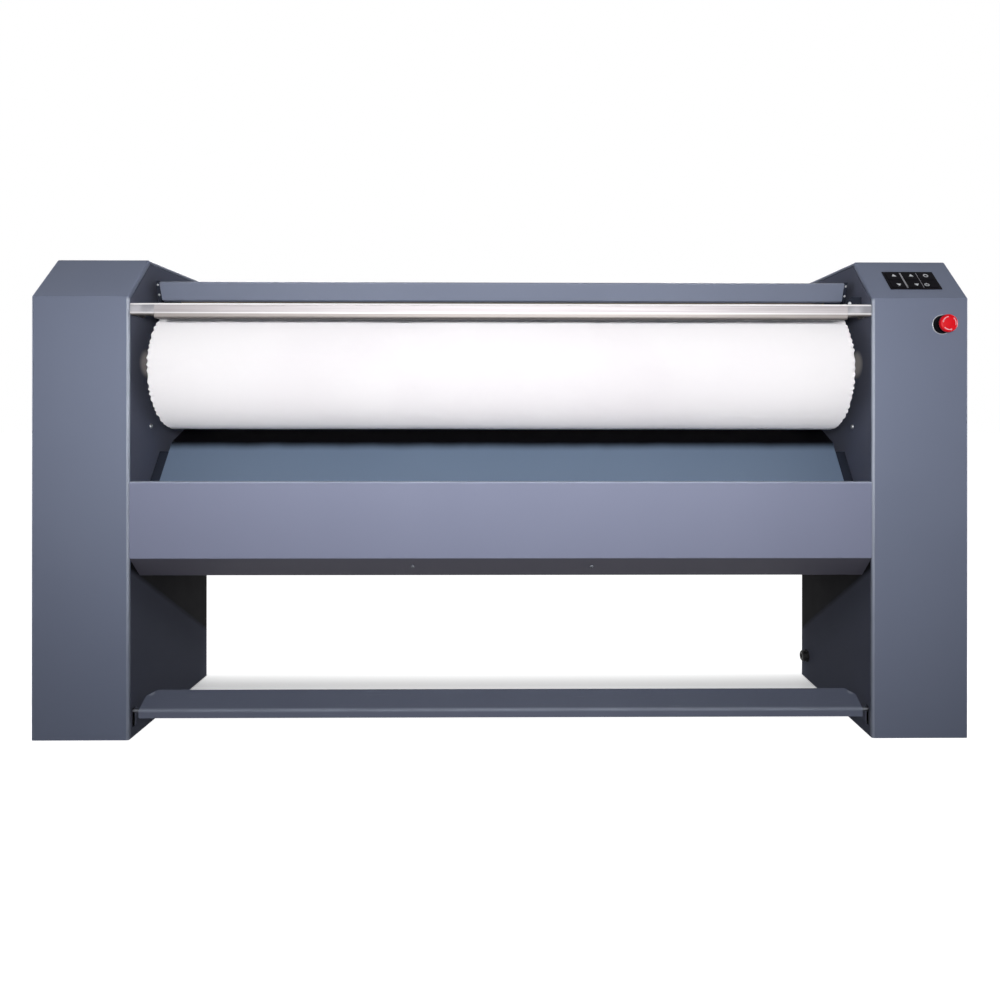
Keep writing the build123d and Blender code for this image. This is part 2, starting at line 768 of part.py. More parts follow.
def guard_section(height):
    """Rounded front, flat back."""
    low, high = guard_top - height, guard_top
    front, back = guard_face_depth, guard_face_depth + guard_depth
    face = make_face(Polyline(at(front, low), at(front, high), at(back, high), at(back, low), close=True))
    return fillet([v for v in face.vertices() if v.X < front_y + front + 1], 5)


def guard_bar():
    """Hollow bright rail with a groove line along its face."""
    rail = guard_section(guard_height) - offset(guard_section(guard_height), -2)
    half = guard_half - guard_cap_length
    body = slab(rail, -half, half)
    groove_z = guard_top - guard_height * 0.66
    return body - block((-half - 1, half + 1), (guard_face_depth - 1, guard_face_depth + 0.8),
                        (groove_z, groove_z + 2))


def guard_cap():
    """End piece, plugged into the rail and lower in height than it."""
    cap = slab(guard_section(guard_height - guard_cap_step), guard_half - guard_cap_length + 0.2, guard_half)
    plug = block((guard_half - guard_cap_length - 20, guard_half - guard_cap_length + 0.2),
                 (guard_face_depth + 2.4, guard_face_depth + guard_depth - 2.4),
                 (guard_top - guard_height + 2.4 + guard_cap_step, guard_top - 6))
    return cap + plug


guard_arm_x = wall_x - 12.0
guard_pin_radius = 4.0


def guard_arm():
    """Arm from the end piece back to its hinge pin."""
    back = guard_face_depth + guard_depth
    arm = make_face(Polyline(
        at(back, guard_top - 24), at(back, guard_top - 4), at(guard_hinge_depth, guard_hinge_height + 8),
        at(guard_hinge_depth, guard_hinge_height - 8), close=True))
    arm += Pos(*at(guard_hinge_depth, guard_hinge_height)) * RegularPolygon(8.5, 12)
    arm -= Pos(*at(guard_hinge_depth, guard_hinge_height)) * Circle(guard_pin_radius + running)
    return slab(arm, guard_arm_x, guard_arm_x + 5)


def guard_pin():
    """Shouldered pin through the wall."""
    pin = bar(guard_pin_radius, guard_hinge_depth, guard_hinge_height, guard_arm_x - 3, wall_x - seat_gap)
    return pin + prism(7, 6, guard_hinge_depth, guard_hinge_height, guard_arm_x + 6, wall_x - seat_gap)


switch_depth = 58.0


def switch_bracket():
    """Rounded tab on the right wall, with a flange along the wall."""
    left_x, right_x = wall_x - 34, wall_x - seat_gap
    low, high = guard_top - 12, guard_top + 24
    radius = 14.0
    plane = Plane(origin=(0, front_y + switch_depth, 0), x_dir=(1, 0, 0), z_dir=(0, -1, 0))
    tab = make_face(Polyline((left_x, low), (right_x, low), (right_x, high), (left_x, high), close=True))
    tab = fillet([v for v in tab.vertices() if v.Y > high - 1 and v.X < right_x - 1], radius)
    bracket = extrude(plane * tab, 2.5)
    return bracket + block((right_x - 2.5, right_x), (switch_depth - 2.5, switch_depth + 8), (low, high))


# ---------------------------------------------------------------- apron, linen plate, beams
def apron():
    """Front sheet with a turned top edge, a 45 degree lower strip and closed ends."""
    half = skin / 2
    strip_rise = apron_fold - apron_bottom
    line = [(20, apron_top - half), (half, apron_top - half), (half, apron_fold),
            (apron_return_run + half, apron_fold - strip_rise), (apron_return_run + 10, apron_bottom + 10)]
    length = wall_x - 1.0
    sheet = bent_sheet(line, skin, -length, length, bend=2)
    end = make_face(Polyline(
        at(skin - 0.2, apron_top - skin), at(18, apron_top - skin), at(18, apron_fold + 6),
        at(apron_return_run - 3, apron_bottom + 8), at(apron_return_run - 4, apron_bottom + 5.5),
        at(skin - 0.2, apron_fold + 1.2), close=True))
    for side in (-1, 1):
        near, far = side * (length - 2), side * (wall_x - seat_gap)
        sheet += slab(end, min(near, far), max(near, far))
    return sheet


def linen_plate():
    """Guides the ironed linen from under the roll down to the tray behind the apron."""
    line = [linen_foot, linen_bend, linen_rear, (linen_rear[0] + 2, linen_rear[1] - 18)]
    return bent_sheet(line, skin, -linen_plate_half, linen_plate_half, bend=8)


def linen_bracket():
    """Angle under the plate's end, fixed to the wall."""
    run = linen_bend[0] - linen_foot[0]
    rise = linen_bend[1] - linen_foot[1]
    length = hypot(run, rise)
    below = skin / 2 + seat_gap + 1
    shift = (below * rise / length, -below * run / length)
    low, high = 0.15, 0.9
    ends = [(linen_foot[0] + run * k + shift[0], linen_foot[1] + rise * k + shift[1]) for k in (low, high)]
    leaf = bent_sheet(ends, 2, linen_plate_half - 22, wall_x - seat_gap)
    web = make_face(Polyline(
        at(*ends[0]), at(*ends[1]), at(ends[1][0] + 14, ends[1][1] - 10), at(ends[0][0] + 14, ends[0][1] - 10),
        close=True))
    return leaf + slab(web, wall_x - seat_gap - 2, wall_x - seat_gap)


beam_size = 50.0
front_beam_depth = 85.0


def cross_beams():
    """Two square tubes with end flanges bolted between the inner frames."""
    pieces = []
    flange = 66.0
    end = wall_x - seat_gap
    tube = Rectangle(beam_size, beam_size) - Rectangle(beam_size - 6, beam_size - 6)
    for d, z in ((front_beam_depth, apron_fold + 22), (cabinet_depth - 36, apron_fold + 187)):
        beam = slab(Pos(*at(d, z)) * tube, -end + 5, end - 5)
        for low in (-end, end - 5):
            beam += slab(Pos(*at(d, z)) * Rectangle(flange, flange), low, low + 5)
        pieces.append(beam)
    return group(*pieces)


def rear_sheet():
    """Lower rear cover between the cabinets."""
    back = cabinet_depth - skin / 2
    low, high = apron_bottom - 55, apron_top + 79
    line = [(back - 16, low), (back, low), (back, high), (back - 16, high)]
    return bent_sheet(line, skin, -(wall_x - seat_gap), wall_x - seat_gap)


# ---------------------------------------------------------------- foot bar
def pedal_bar():
    """Folded foot bar with a front lip and closed ends."""
    line = [(pedal_fold_depth, pedal_lip_bottom), (pedal_fold_depth, pedal_fold_height),
            (pedal_back_depth, pedal_back_height), (pedal_back_depth + 3, pedal_back_height - 12)]
    sheet = bent_sheet(line, pedal_sheet, -pedal_half_length, pedal_half_length)
    end = make_face(Polyline(
        at(pedal_fold_depth + 1, pedal_lip_bottom), at(pedal_fold_depth + 1, pedal_fold_height),
        at(pedal_back_depth, pedal_back_height), at(pedal_back_depth + 2, pedal_back_height - 12),
        at(pedal_pin_depth + 12, pedal_lip_bottom), close=True))
    for side in (-1, 1):
        near, far = side * (pedal_half_length - 3), side * pedal_half_length
        sheet += slab(end, min(near, far), max(near, far))
        cut_x, cut_y = pedal_corner
        tip = (side * pedal_half_length, front_y + pedal_back_depth)
        cutter = Plane.XY * make_face(Polyline(
            (tip[0] - side * 2 * cut_x, tip[1] + cut_y), (tip[0] + side * cut_x, tip[1] - 2 * cut_y),
            (tip[0] + side * cut_x, tip[1] + cut_y), close=True))
        sheet -= extrude(cutter, 2 * pedal_back_height)
    return sheet


def pedal_arm():
    """Flat arm inside the cabinet, from the foot bar's pin to the pivot."""
    front = (pedal_pin_depth, pedal_pin_height)
    back = (pedal_pivot_depth, pedal_pivot_height)
    half = arm_height / 2
    outline = make_face(Polyline(at(front[0], front[1] - half * 0.6), at(front[0], front[1] + half * 0.6),
                                 at(back[0], back[1] + half), at(back[0], back[1] - half), close=True))
    outline += Pos(*at(*back)) * RegularPolygon(half + 3, 16)
    outline += Pos(*at(*front)) * RegularPolygon(half * 0.6, 12)
    outline -= Pos(*at(*back)) * Circle(pedal_pivot_radius + running)
    arm = slab(outline, arm_x, arm_x + arm_plate)
    far = pedal_pivot_depth - rod_pedal_reach
    arm += bar(rod_pin, far, pedal_pivot_height, arm_x, rod_x + rod_eye + 3)
    return arm + prism(spring_peg, 8, spring_depth, pedal_pivot_height, arm_x, spring_x + coil_radius)


def pedal_pin():
    """Pin welded to the arm; it reaches through the slot in the wall to the foot bar's end."""
    return prism(pedal_pin_radius, 8, pedal_pin_depth, pedal_pin_height, pedal_half_length + seat_gap, arm_x)


def pedal_pivot():
    seat = wall_x + tray_plate + seat_gap
    pin = bar(pedal_pivot_radius, pedal_pivot_depth, pedal_pivot_height, seat, arm_x + arm_plate + 8)
    return pin + prism(pedal_pivot_radius + 6, 6, pedal_pivot_depth, pedal_pivot_height, seat, arm_x - 0.5)


def lift_rod():
    """Rod with an eye at each end and an adjusting nut."""
    low = (pedal_pivot_depth - rod_pedal_reach, pedal_pivot_height)
    high = (chest_pivot_depth - rod_chest_reach, chest_pivot_height)
    eye = 13
    rod_middle = rod_x + rod_eye / 2
    a = Vector(rod_middle, *at(*low))
    b = Vector(rod_middle, *at(*high))
    along = (b - a).normalized()
    start = a + along * (eye - 1)
    shank = Plane(origin=start, x_dir=(1, 0, 0), z_dir=along) * RegularPolygon(rod_shank, 8)
    rod = extrude(shank, (b - a).length - 2 * (eye - 1))
    for end in (low, high):
        rod += slab(Pos(*at(*end)) * RegularPolygon(eye, 8, rotation=22.5), rod_x, rod_x + rod_eye)
    nut = Plane(origin=a + along * 60, x_dir=(1, 0, 0), z_dir=along) * RegularPolygon(rod_eye, 6)
    rod += extrude(nut, 46)
    for end, gap in ((low, running), (high, open_pivot_gap)):
        rod -= bar(rod_pin + gap, *end, rod_x - 1, rod_x + rod_eye + 1)
    return rod


def return_spring():
    """Extension spring that lifts the foot bar: a coil with an eye at each end on a peg."""
    low, high = pedal_pivot_height + spring_eye - 1, spring_top - spring_eye + 1
    coil = Plane(origin=(spring_x, front_y + spring_depth, low)) * RegularPolygon(coil_radius, 12)
    spring = extrude(coil, high - low)
    loop = RegularPolygon(spring_eye, 12) - RegularPolygon(spring_peg + seat_gap, 12, major_radius=False)
    slot = RegularPolygon(spring_peg + seat_gap, 12, major_radius=False)
    for z in (pedal_pivot_height, spring_top):
        spring += slab(Pos(*at(spring_depth, z)) * loop, spring_x - spring_wire, spring_x + spring_wire)
        spring -= slab(Pos(*at(spring_depth, z)) * slot, spring_x - coil_radius, spring_x + coil_radius)
    return spring


# ---------------------------------------------------------------- controls, in the right cabinet
console = Plane(
    origin=(keypad_centre, *at(console_run * 0.4655, slope_z + console_drop * 0.4655)),
    x_dir=(1, 0, 0),
    z_dir=(0, -sin(slope_angle), cos(slope_angle)),
)
key_gap = 2.0
key_width = (keypad_width - 10 - (key_columns - 1) * 4) / key_columns
key_height = (keypad_height - 10 - (key_rows - 1) * key_gap) / key_rows


def key_spots():
    for column in range(key_columns):
        for row in range(key_rows):
            x = (column - (key_columns - 1) / 2) * (key_width + 4)
            y = ((key_rows - 1) / 2 - row) * (key_height + key_gap)
            yield column, row, x, y


def key_opening():
    return extrude(console * Rectangle(keypad_width - 8, keypad_height - 8), 6, both=True)


def keypad_bezel():
    plate = Rectangle(keypad_width, keypad_height)
    for _, _, x, y in key_spots():
        plate -= Pos(x, y) * Rectangle(key_width, key_height)
    face = extrude(console.offset(seat_gap) * plate, 1.5)
    rim = Rectangle(keypad_width - 8.6, keypad_height - 8.6) - Rectangle(keypad_width - 10, keypad_height - 10)
    return face + extrude(console.offset(-6) * rim, 6 + seat_gap)


def key(x, y):
    """Cap that stands a little proud, on a stem down to the board's switch."""
    cap = Rectangle(key_width - 2 * seat_gap, key_height - 2 * seat_gap)
    cap = chamfer(cap.vertices(), 1.5)
    body = extrude(console.offset(-2) * Pos(x, y) * cap, 4.6)
    return body + extrude(console.offset(-8) * Pos(x, y) * Rectangle(8, 8), 6)


def control_board():
    """Circuit board with a switch under each key, hung from the bezel's screws."""
    board = extrude(console.offset(-14) * Rectangle(keypad_width - 14, keypad_height - 14), 1.6)
    for _, _, x, y in key_spots():
        board += extrude(console.offset(-12.4) * Pos(x, y) * Rectangle(9, 9), 2.6)
    for sx in (-1, 1):
        post = Pos(sx * (keypad_width / 2 - 4.65 - 3.6), 0) * Rectangle(6, 6)
        board += extrude(console.offset(-12.4) * post, 6.2)
    return board


def e_stop_plane(reach=0.0):
    return Plane(origin=(e_stop_x, front_y - reach, e_stop_height), x_dir=(1, 0, 0), z_dir=(0, -1, 0))


def e_stop_collar():
    """Bezel ring, threaded neck and the nut behind the casing."""
    ring = extrude(e_stop_plane(seat_gap) * Circle(e_stop_radius), e_stop_collar_reach - seat_gap)
    ring = chamfer(ring.edges().group_by(Axis.Y)[0], 2)
    ring += extrude(e_stop_plane(-18) * RegularPolygon(e_stop_neck, 16), 18 + seat_gap)
    nut = e_stop_plane(-(skin + seat_gap + 4)) * RegularPolygon(15, 6)
    ring += extrude(nut, 4)
    return ring - extrude(e_stop_plane(-30) * Circle(7), 60)


def e_stop_stem():
    return extrude(e_stop_plane(-12) * Circle(6.9), 12 + e_stop_reach - e_stop_head + 3)


def e_stop_cap():
    """Mushroom head, turned to release."""
    under = e_stop_reach - e_stop_head
    profile = make_face(Polyline((0, under), (e_stop_radius - 3, under), (e_stop_radius, under + 2.5),
                                 (e_stop_radius - 0.6, under + 6.4), (e_stop_radius - 3.5, under + 8.6),
                                 (0, under + e_stop_head), close=True))
    plane = Plane(origin=(e_stop_x, front_y, e_stop_height), x_dir=(1, 0, 0), z_dir=(0, 0, 1))
    head = revolve(plane * (mirror(profile, about=Plane.XZ)), Axis((e_stop_x, front_y, e_stop_height), (0, 1, 0)))
    return head - extrude(e_stop_plane(0) * Circle(7.0), under + 3.2)


def contact_block():
    """Switch block clipped behind the neck."""
    return block((e_stop_x - 15, e_stop_x + 15), (18.3, 58), (e_stop_height - 18, e_stop_height + 18))


plate_gap = 48.0           # clear of the lift rod and the chest's lever
board_x = wall_x + tray_plate + seat_gap + plate_gap
board_low, board_high = 430.0, 745.0
board_front, board_back = 120.0, cabinet_depth - 36
rail_low, rail_high = board_low + 80, board_high - 95


def mounting_plate():
    """Sheet on four posts, outboard of the moving levers."""
    plate = block((board_x, board_x + 2), (board_front, board_back), (board_low, board_high))
    for d in (board_front + 16, board_back - 16):
        for z in (board_low + 20, board_high - 20):
            plate += block((wall_x + tray_plate + seat_gap, board_x), (d - 5, d + 5), (z - 5, z + 5))
    return plate


def rail_x():
    return board_x + 2


def din_rails():
    """Top-hat rails."""
    pieces = []
    for z in (rail_low, rail_high):
        rail = Plane.XZ.offset(-(front_y + board_back - 10)) * trace(Polyline(
            (rail_x() + 7.5, z - 17), (rail_x() + 7.5, z - 13), (rail_x() + 0.9, z - 13), (rail_x() + 0.9, z + 13),
            (rail_x() + 7.5, z + 13), (rail_x() + 7.5, z + 17)), 1)
        pieces.append(extrude(rail, board_back - board_front - 20))
    return group(*pieces)


def contactors():
    pieces = []
    for i in range(3):
        d = board_front + 30 + i * 52
        low_x = rail_x() + 8.4
        body = block((low_x, low_x + 50), (d, d + 45), (rail_high - 42, rail_high + 42))
        body += block((low_x + 50, low_x + 74), (d, d + 45), (rail_high - 24, rail_high + 24))
        for k in range(3):
            for z in (rail_high - 34, rail_high + 34):
                body -= block((low_x + 44, low_x + 51), (d + 5 + k * 13, d + 14 + k * 13), (z - 5, z + 5))
        pieces.append(body)
    return group(*pieces)


def terminal_blocks():
    low_x = rail_x() + 8.4
    pieces = []
    for i in range(8):
        d = board_front + 40 + i * 16
        pieces.append(block((low_x, low_x + 38), (d, d + 15.6), (rail_low - 24, rail_low + 24)))
    return group(*pieces)


def cable_gland():
    """Black gland: nut inside, hex and dome towards the middle of the machine."""
    outside, inside = wall_x - seat_gap, wall_x + tray_plate + seat_gap
    hex_face = Pos(*at(gland_depth, gland_height)) * RegularPolygon(gland_radius + 4.5, 6)
    gland = slab(hex_face, outside - 6, outside)
    gland += bar(gland_radius + 2.5, gland_depth, gland_height, outside - 17, outside - 6)
    gland += prism(gland_radius, 16, gland_depth, gland_height, outside - 6, inside + 12)
    gland += slab(hex_face, inside, inside + 5)
    rim = [e for e in gland.edges() if e.geom_type == GeomType.CIRCLE and abs(e.center().X - outside + 17) < 0.1]
    gland = chamfer(rim, 3)
    return gland - bar(gland_bore, gland_depth, gland_height, outside - 40, inside + 40)


gland_bore = 6.5

# ---------------------------------------------------------------- the machine
os.makedirs("parts", exist_ok=True)

write("front_casing_left", mirror(casing(), about=Plane.YZ))
write("front_casing_right", control_casing())
write("inner_frame_left", mirror(inner_frame("left"), about=Plane.YZ))
write("inner_frame_right", inner_frame("right"))
write("outer_panels", mirrored(outer_panel()))
write("rear_panels", mirrored(rear_panel()))
write("base_plates", mirrored(base_plate()))
write("foot_pads", mirrored(group(*[foot_pad(x, d) for x, d in foot_spots])))
write("foot_screws", mirrored(group(*[foot_screw(x, d) for x, d in foot_spots])))

write("roll_drum", roll_drum())
write("roll_end_discs", mirrored(roll_end_disc()))
write("roll_journals", mirrored(roll_journal()))
write("roll_padding", roll_padding())
write("roll_bearings", mirrored(roll_bearing()))

roll_centre = at(roll_depth, roll_height)
motor_side = (motor_depth, motor_height)
motor_centre = at(*motor_side)
roll_phase = pin_angle(roll_centre, pitch_radius(roll_teeth))
motor_phase = pin_angle(motor_centre, pitch_radius(motor_teeth))
roll_wheel = sprocket(roll_teeth, roll_centre, journal_radius, roll_phase, 12)
bore = bar(journal_radius + running, roll_depth, roll_height, chain_x - 40, chain_x + 60)
write("roll_sprocket", roll_wheel - bore)
motor_shaft = bar(motor_shaft_radius, *motor_side, gearbox_x - gearbox_width, chain_x + 14)
motor_wheel = sprocket(motor_teeth, motor_centre, motor_shaft_radius, motor_phase, 8)
write("motor_sprocket", motor_wheel + motor_shaft)
write("drive_chain", drive_chain())
write("gear_motor", gear_motor())
write("motor_bracket", motor_bracket())

write("chest_shoe", chest_shoe())
write("heaters", heaters())
write("heater_clamps", heater_clamps())
write("chest_blanket", chest_blanket())
write("chest_cover", chest_cover())
write("chest_end_plates", mirrored(chest_end_plate()))
write("chest_bushes", mirrored(chest_bush()))
write("chest_levers", mirrored(chest_lever()))
write("temperature_probe", temperature_probe())

write("guard_bar", guard_bar())
write("guard_end_arms", mirrored(guard_cap() + guard_arm()))
write("guard_pins", mirrored(guard_pin()))
write("switch_bracket", switch_bracket())

write("apron", apron())
write("linen_plate", linen_plate())
write("linen_brackets", mirrored(linen_bracket()))
write("cross_beams", cross_beams())
write("rear_sheet", rear_sheet())

write("pedal_bar", pedal_bar())
write("pedal_arms", mirrored(pedal_arm() + pedal_pin()))
write("pedal_pivots", mirrored(pedal_pivot()))
write("lift_rods", mirrored(lift_rod()))
write("return_springs", mirrored(return_spring()))

write("keypad_bezel", keypad_bezel())
for column, row, x, y in key_spots():
    write(f"key_{column + 1}_{('upper', 'lower')[row]}", key(x, y))
write("control_board", control_board())
write("e_stop_collar", e_stop_collar())
write("e_stop_stem", e_stop_stem())
write("e_stop_cap", e_stop_cap())
write("contact_block", contact_block())
write("mounting_plate", group(mounting_plate(), din_rails()))
write("contactors", contactors())
write("terminal_blocks", terminal_blocks())
write("cable_gland", cable_gland())
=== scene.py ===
import math

import bmesh
import bpy
from mathutils import Matrix, Vector


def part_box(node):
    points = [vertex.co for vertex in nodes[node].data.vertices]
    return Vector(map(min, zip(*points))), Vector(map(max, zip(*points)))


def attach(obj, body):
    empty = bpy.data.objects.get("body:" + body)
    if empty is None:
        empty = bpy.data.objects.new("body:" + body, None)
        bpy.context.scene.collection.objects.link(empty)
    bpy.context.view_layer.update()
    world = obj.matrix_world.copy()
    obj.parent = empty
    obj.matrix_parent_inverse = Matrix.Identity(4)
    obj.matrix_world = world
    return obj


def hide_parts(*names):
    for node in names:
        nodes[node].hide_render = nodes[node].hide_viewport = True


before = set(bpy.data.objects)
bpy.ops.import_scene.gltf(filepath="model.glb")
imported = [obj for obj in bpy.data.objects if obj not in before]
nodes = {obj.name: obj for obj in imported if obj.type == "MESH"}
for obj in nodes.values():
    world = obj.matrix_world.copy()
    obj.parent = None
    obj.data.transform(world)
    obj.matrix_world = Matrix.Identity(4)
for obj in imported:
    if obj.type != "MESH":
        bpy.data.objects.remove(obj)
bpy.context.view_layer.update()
wall = 0.82         # an inner wall's face, from the middle
cabinet_side = 1.034
rear_face = 0.235

# ---------------------------------------------------------------- camera
# A viewer stands square to the machine at two thirds of its height, a little right of the middle.
# The frame is shifted down and left, as the photograph was cropped.
camera = bpy.data.objects.new("camera", bpy.data.cameras.new("camera"))
camera.location = (0.0360, -1.9465, 0.7172)
camera.rotation_euler = (math.radians(90), math.radians(-0.05), math.radians(-0.543))
camera.data.sensor_width = 36
camera.data.lens = 28.46
camera.data.shift_x = -0.0261
camera.data.shift_y = -0.0843
camera.data.clip_start = 0.02
bpy.context.scene.collection.objects.link(camera)
bpy.context.scene.camera = camera
bpy.context.scene.view_settings.view_transform = "Standard"


# ---------------------------------------------------------------- studio
# A white sweep of paper and a dim room. A wide soft box stands in front at the roll's height, with a faint
# strip below it, and four weak ones light the machine's sides and back.
# The paper is white to the eye and in bright metal, and keeps the shadow under the machine.
class Tone:
    """A socket of a finish. Sums on it add Math nodes."""

    def __init__(self, finish, socket):
        self.finish, self.socket = finish, socket

    def sum(self, operation, first, second=0.0):
        return self.finish.add("ShaderNodeMath", {"operation": operation}, {0: first, 1: second})

    def __add__(self, other):
        return self.sum("ADD", self, other)

    def __sub__(self, other):
        return self.sum("SUBTRACT", self, other)

    def __rsub__(self, other):
        return self.sum("SUBTRACT", other, self)

    def __mul__(self, other):
        return self.sum("MULTIPLY", self, other)

    def __truediv__(self, other):
        return self.sum("DIVIDE", self, other)

    def __pow__(self, other):
        return self.sum("POWER", self, other)

    __radd__ = __add__
    __rmul__ = __mul__

    def size(self):
        return self.sum("ABSOLUTE", self)

    def wave(self):
        return self.sum("SINE", self)

    def within(self, low, high):
        """0 at low and 1 at high, held beyond both."""
        settings = {"interpolation_type": "SMOOTHSTEP"}
        return self.finish.add("ShaderNodeMapRange", settings, {0: self, 1: low, 2: high, 3: 0.0, 4: 1.0})


class Finish:
    """A material built up from where a point lies on the object."""

    def __init__(self, name, **shader):
        self.material = bpy.data.materials.new(name)
        self.material.use_nodes = True
        self.links = self.material.node_tree.links
        self.shader = self.material.node_tree.nodes["Principled BSDF"]
        self.out = self.material.node_tree.nodes["Material Output"]
        self.place = self.add("ShaderNodeTexCoord", {}, {}, "Object")
        self.set(self.shader, shader)

    def set(self, node, values):
        for key, value in values.items():
            key = key if isinstance(key, int) else key.replace("_", " ")
            socket = node.inputs[key]
            if isinstance(value, Tone):
                self.links.new(value.socket, socket)
            elif isinstance(value, tuple) and len(value) == 3 and socket.type == "RGBA":
                socket.default_value = (*value, 1.0)
            else:
                socket.default_value = value

    def add(self, kind, settings, values, out=0):
        """One node: its settings first, then its sockets. Gives back one of its outputs."""
        node = self.material.node_tree.nodes.new(kind)
        for key, value in settings.items():
            setattr(node, key, value)
        self.set(node, values)
        return Tone(self, node.outputs[out])

    def axis(self, letter):
        return self.add("ShaderNodeSeparateXYZ", {}, {0: self.place}, letter)

    def stretched(self, x, y, z):
        """The place with each axis run faster or slower."""
        return self.add("ShaderNodeVectorMath", {"operation": "MULTIPLY"}, {0: self.place, 1: (x, y, z)})

    def grain(self, scale, detail, place=None):
        """Noise from 0 to 1, about scale spots to the metre."""
        values = {"Vector": place or self.place, "Scale": scale, "Detail": detail}
        return self.add("ShaderNodeTexNoise", {}, values)

    def between(self, share, first, second):
        return self.add("ShaderNodeMix", {"data_type": "RGBA"}, {0: share, 6: first, 7: second}, 2)

    def relief(self, height, depth, strength):
        """Bump of that depth in metres where height goes from 0 to 1."""
        self.set(self.shader, {"Normal": self.add(
            "ShaderNodeBump", {}, {"Strength": strength, "Distance": depth, "Height": height})})


def ink(red, green, blue):
    """A colour as it is read off a screen, 0 to 255, for a shader."""
    shares = (red / 255, green / 255, blue / 255)
    return tuple(c / 12.92 if c <= 0.04045 else ((c + 0.055) / 1.055) ** 2.4 for c in shares)


def paper():
    finish = Finish("studio_paper")
    seen = finish.add("ShaderNodeLightPath", {}, {}, "Is Camera Ray")
    shiny = finish.add("ShaderNodeLightPath", {}, {}, "Is Glossy Ray")
    through = finish.add("ShaderNodeLightPath", {}, {}, "Is Transmission Ray")
    beside = 0.7 * finish.axis("X").size() - 0.68
    behind = (finish.axis("Y") - 0.155).size() + 0.025
    away = finish.add("ShaderNodeMath", {"operation": "MAXIMUM"}, {0: beside, 1: behind})
    glow = finish.add("ShaderNodeEmission", {}, {
        "Color": (1.0, 1.0, 1.0, 1.0), "Strength": 0.32 + 0.68 * away.within(0.0, 0.2)})
    lit = finish.add("ShaderNodeBsdfDiffuse", {}, {"Color": (1.0, 1.0, 1.0)})
    white = finish.add("ShaderNodeAddShader", {}, {0: glow, 1: lit})
    dull = finish.add("ShaderNodeBsdfDiffuse", {}, {"Color": (0.14, 0.14, 0.15)})
    shown = finish.add("ShaderNodeMixShader", {}, {0: seen + shiny + through, 1: dull, 2: white})
    finish.set(finish.out, {"Surface": shown})
    return finish.material


def stage_sheet(name, corners, material):
    mesh = bpy.data.meshes.new(name)
    mesh.from_pydata(corners, [], [(0, 1, 2, 3)])
    mesh.materials.append(material)
    sheet = bpy.data.objects.new(name, mesh)
    bpy.context.scene.collection.objects.link(sheet)


stage_sheet("floor", [(-30, -30, 0), (30, -30, 0), (30, 30, 0), (-30, 30, 0)], paper())


def soft_box(name, place, target, width, height, power, spread):
    lamp = bpy.data.lights.new(name, "AREA")
    lamp.spread = math.radians(spread)
    lamp.shape, lamp.size, lamp.size_y, lamp.energy = "RECTANGLE", width, height, power
    holder = bpy.data.objects.new(name, lamp)
    holder.location = place
    holder.visible_camera = False
    holder.rotation_euler = (Vector(target) - Vector(place)).to_track_quat("-Z", "Y").to_euler()
    bpy.context.scene.collection.objects.link(holder)


soft_box("front_box", (0.0, -2.12, 0.985), (0.0, 0.0, 0.80), 2.2, 0.22, 10.6, 74.0)
soft_box("roll_strip", (0.0, -1.91, 0.56), (0.0, 0.0, 0.70), 1.50, 0.15, 0.04, 13.0)
for side, hand in ((-1, "left"), (1, "right")):
    beside, behind = (side * 3.1, 0.15, 0.95), (side * 1.2, 2.0, 2.3)
    soft_box(f"side_box_{hand}", beside, (side * cabinet_side, 0.10, 0.78), 0.4, 0.6, 3.0, 50.0)
    soft_box(f"rear_box_{hand}", behind, (side * 0.7, rear_face, 1.15), 0.8, 0.3, 2.6, 40.0)

room = bpy.data.worlds.new("room")
bpy.context.scene.world = room
room.use_nodes = True
ground = room.node_tree.nodes
dim, bright = ground["Background"], ground.new("ShaderNodeBackground")
for air, colour, strength in ((dim, (0.95, 0.97, 1.0, 1.0), 0.08), (bright, (1.0, 1.0, 1.0, 1.0), 1.0)):
    air.inputs["Color"].default_value = colour
    air.inputs["Strength"].default_value = strength
path, choice = ground.new("ShaderNodeLightPath"), ground.new("ShaderNodeMixShader")
either, share = ground.new("ShaderNodeMath"), ground.new("ShaderNodeMath")
for start, end in (
    (path.outputs["Is Camera Ray"], either.inputs[0]),
    (path.outputs["Is Glossy Ray"], either.inputs[1]),
    (either.outputs[0], share.inputs[0]),
    (path.outputs["Is Transmission Ray"], share.inputs[1]),
    (share.outputs[0], choice.inputs[0]),
    (dim.outputs[0], choice.inputs[1]),
    (bright.outputs[0], choice.inputs[2]),
    (choice.outputs[0], ground["World Output"].inputs["Surface"]),
):
    room.node_tree.links.new(start, end)


# ---------------------------------------------------------------- painted sheet metal
# The casings, apron, linen plate, pedal and rear panels are folded steel sheet.
# They are powder coated blue-grey, with fine orange peel; painted highlights lie along edges and folds, and
# painted shade or shadow on some faces.
def powder_coat(name, light, dark, marks=(), gloss=0.46, shine=0.2):
    """The coat, with painted marks of light and shade: where each lies, and its colour."""
    finish = Finish(name, Metallic=0.0, Specular_IOR_Level=shine)
    cloud = finish.grain(1.7, 3.0).within(0.3, 0.7)
    speck = finish.grain(1400.0, 1.0)
    coat = finish.between(0.72 * cloud + 0.28 * speck, dark, light)
    for where, colour in marks:
        coat = finish.between(where(finish), coat, colour)
    finish.set(finish.shader, {"Base_Color": coat, "Roughness": gloss + 0.10 * finish.grain(24.0, 4.0)})
    finish.relief(finish.grain(520.0, 2.0), 0.00012, 0.5)
    return finish.material


def dress(material, *names):
    """Gives CAD nodes a finish."""
    for name in names:
        for slot in nodes[name].material_slots:
            slot.link = "OBJECT"
            slot.material = material


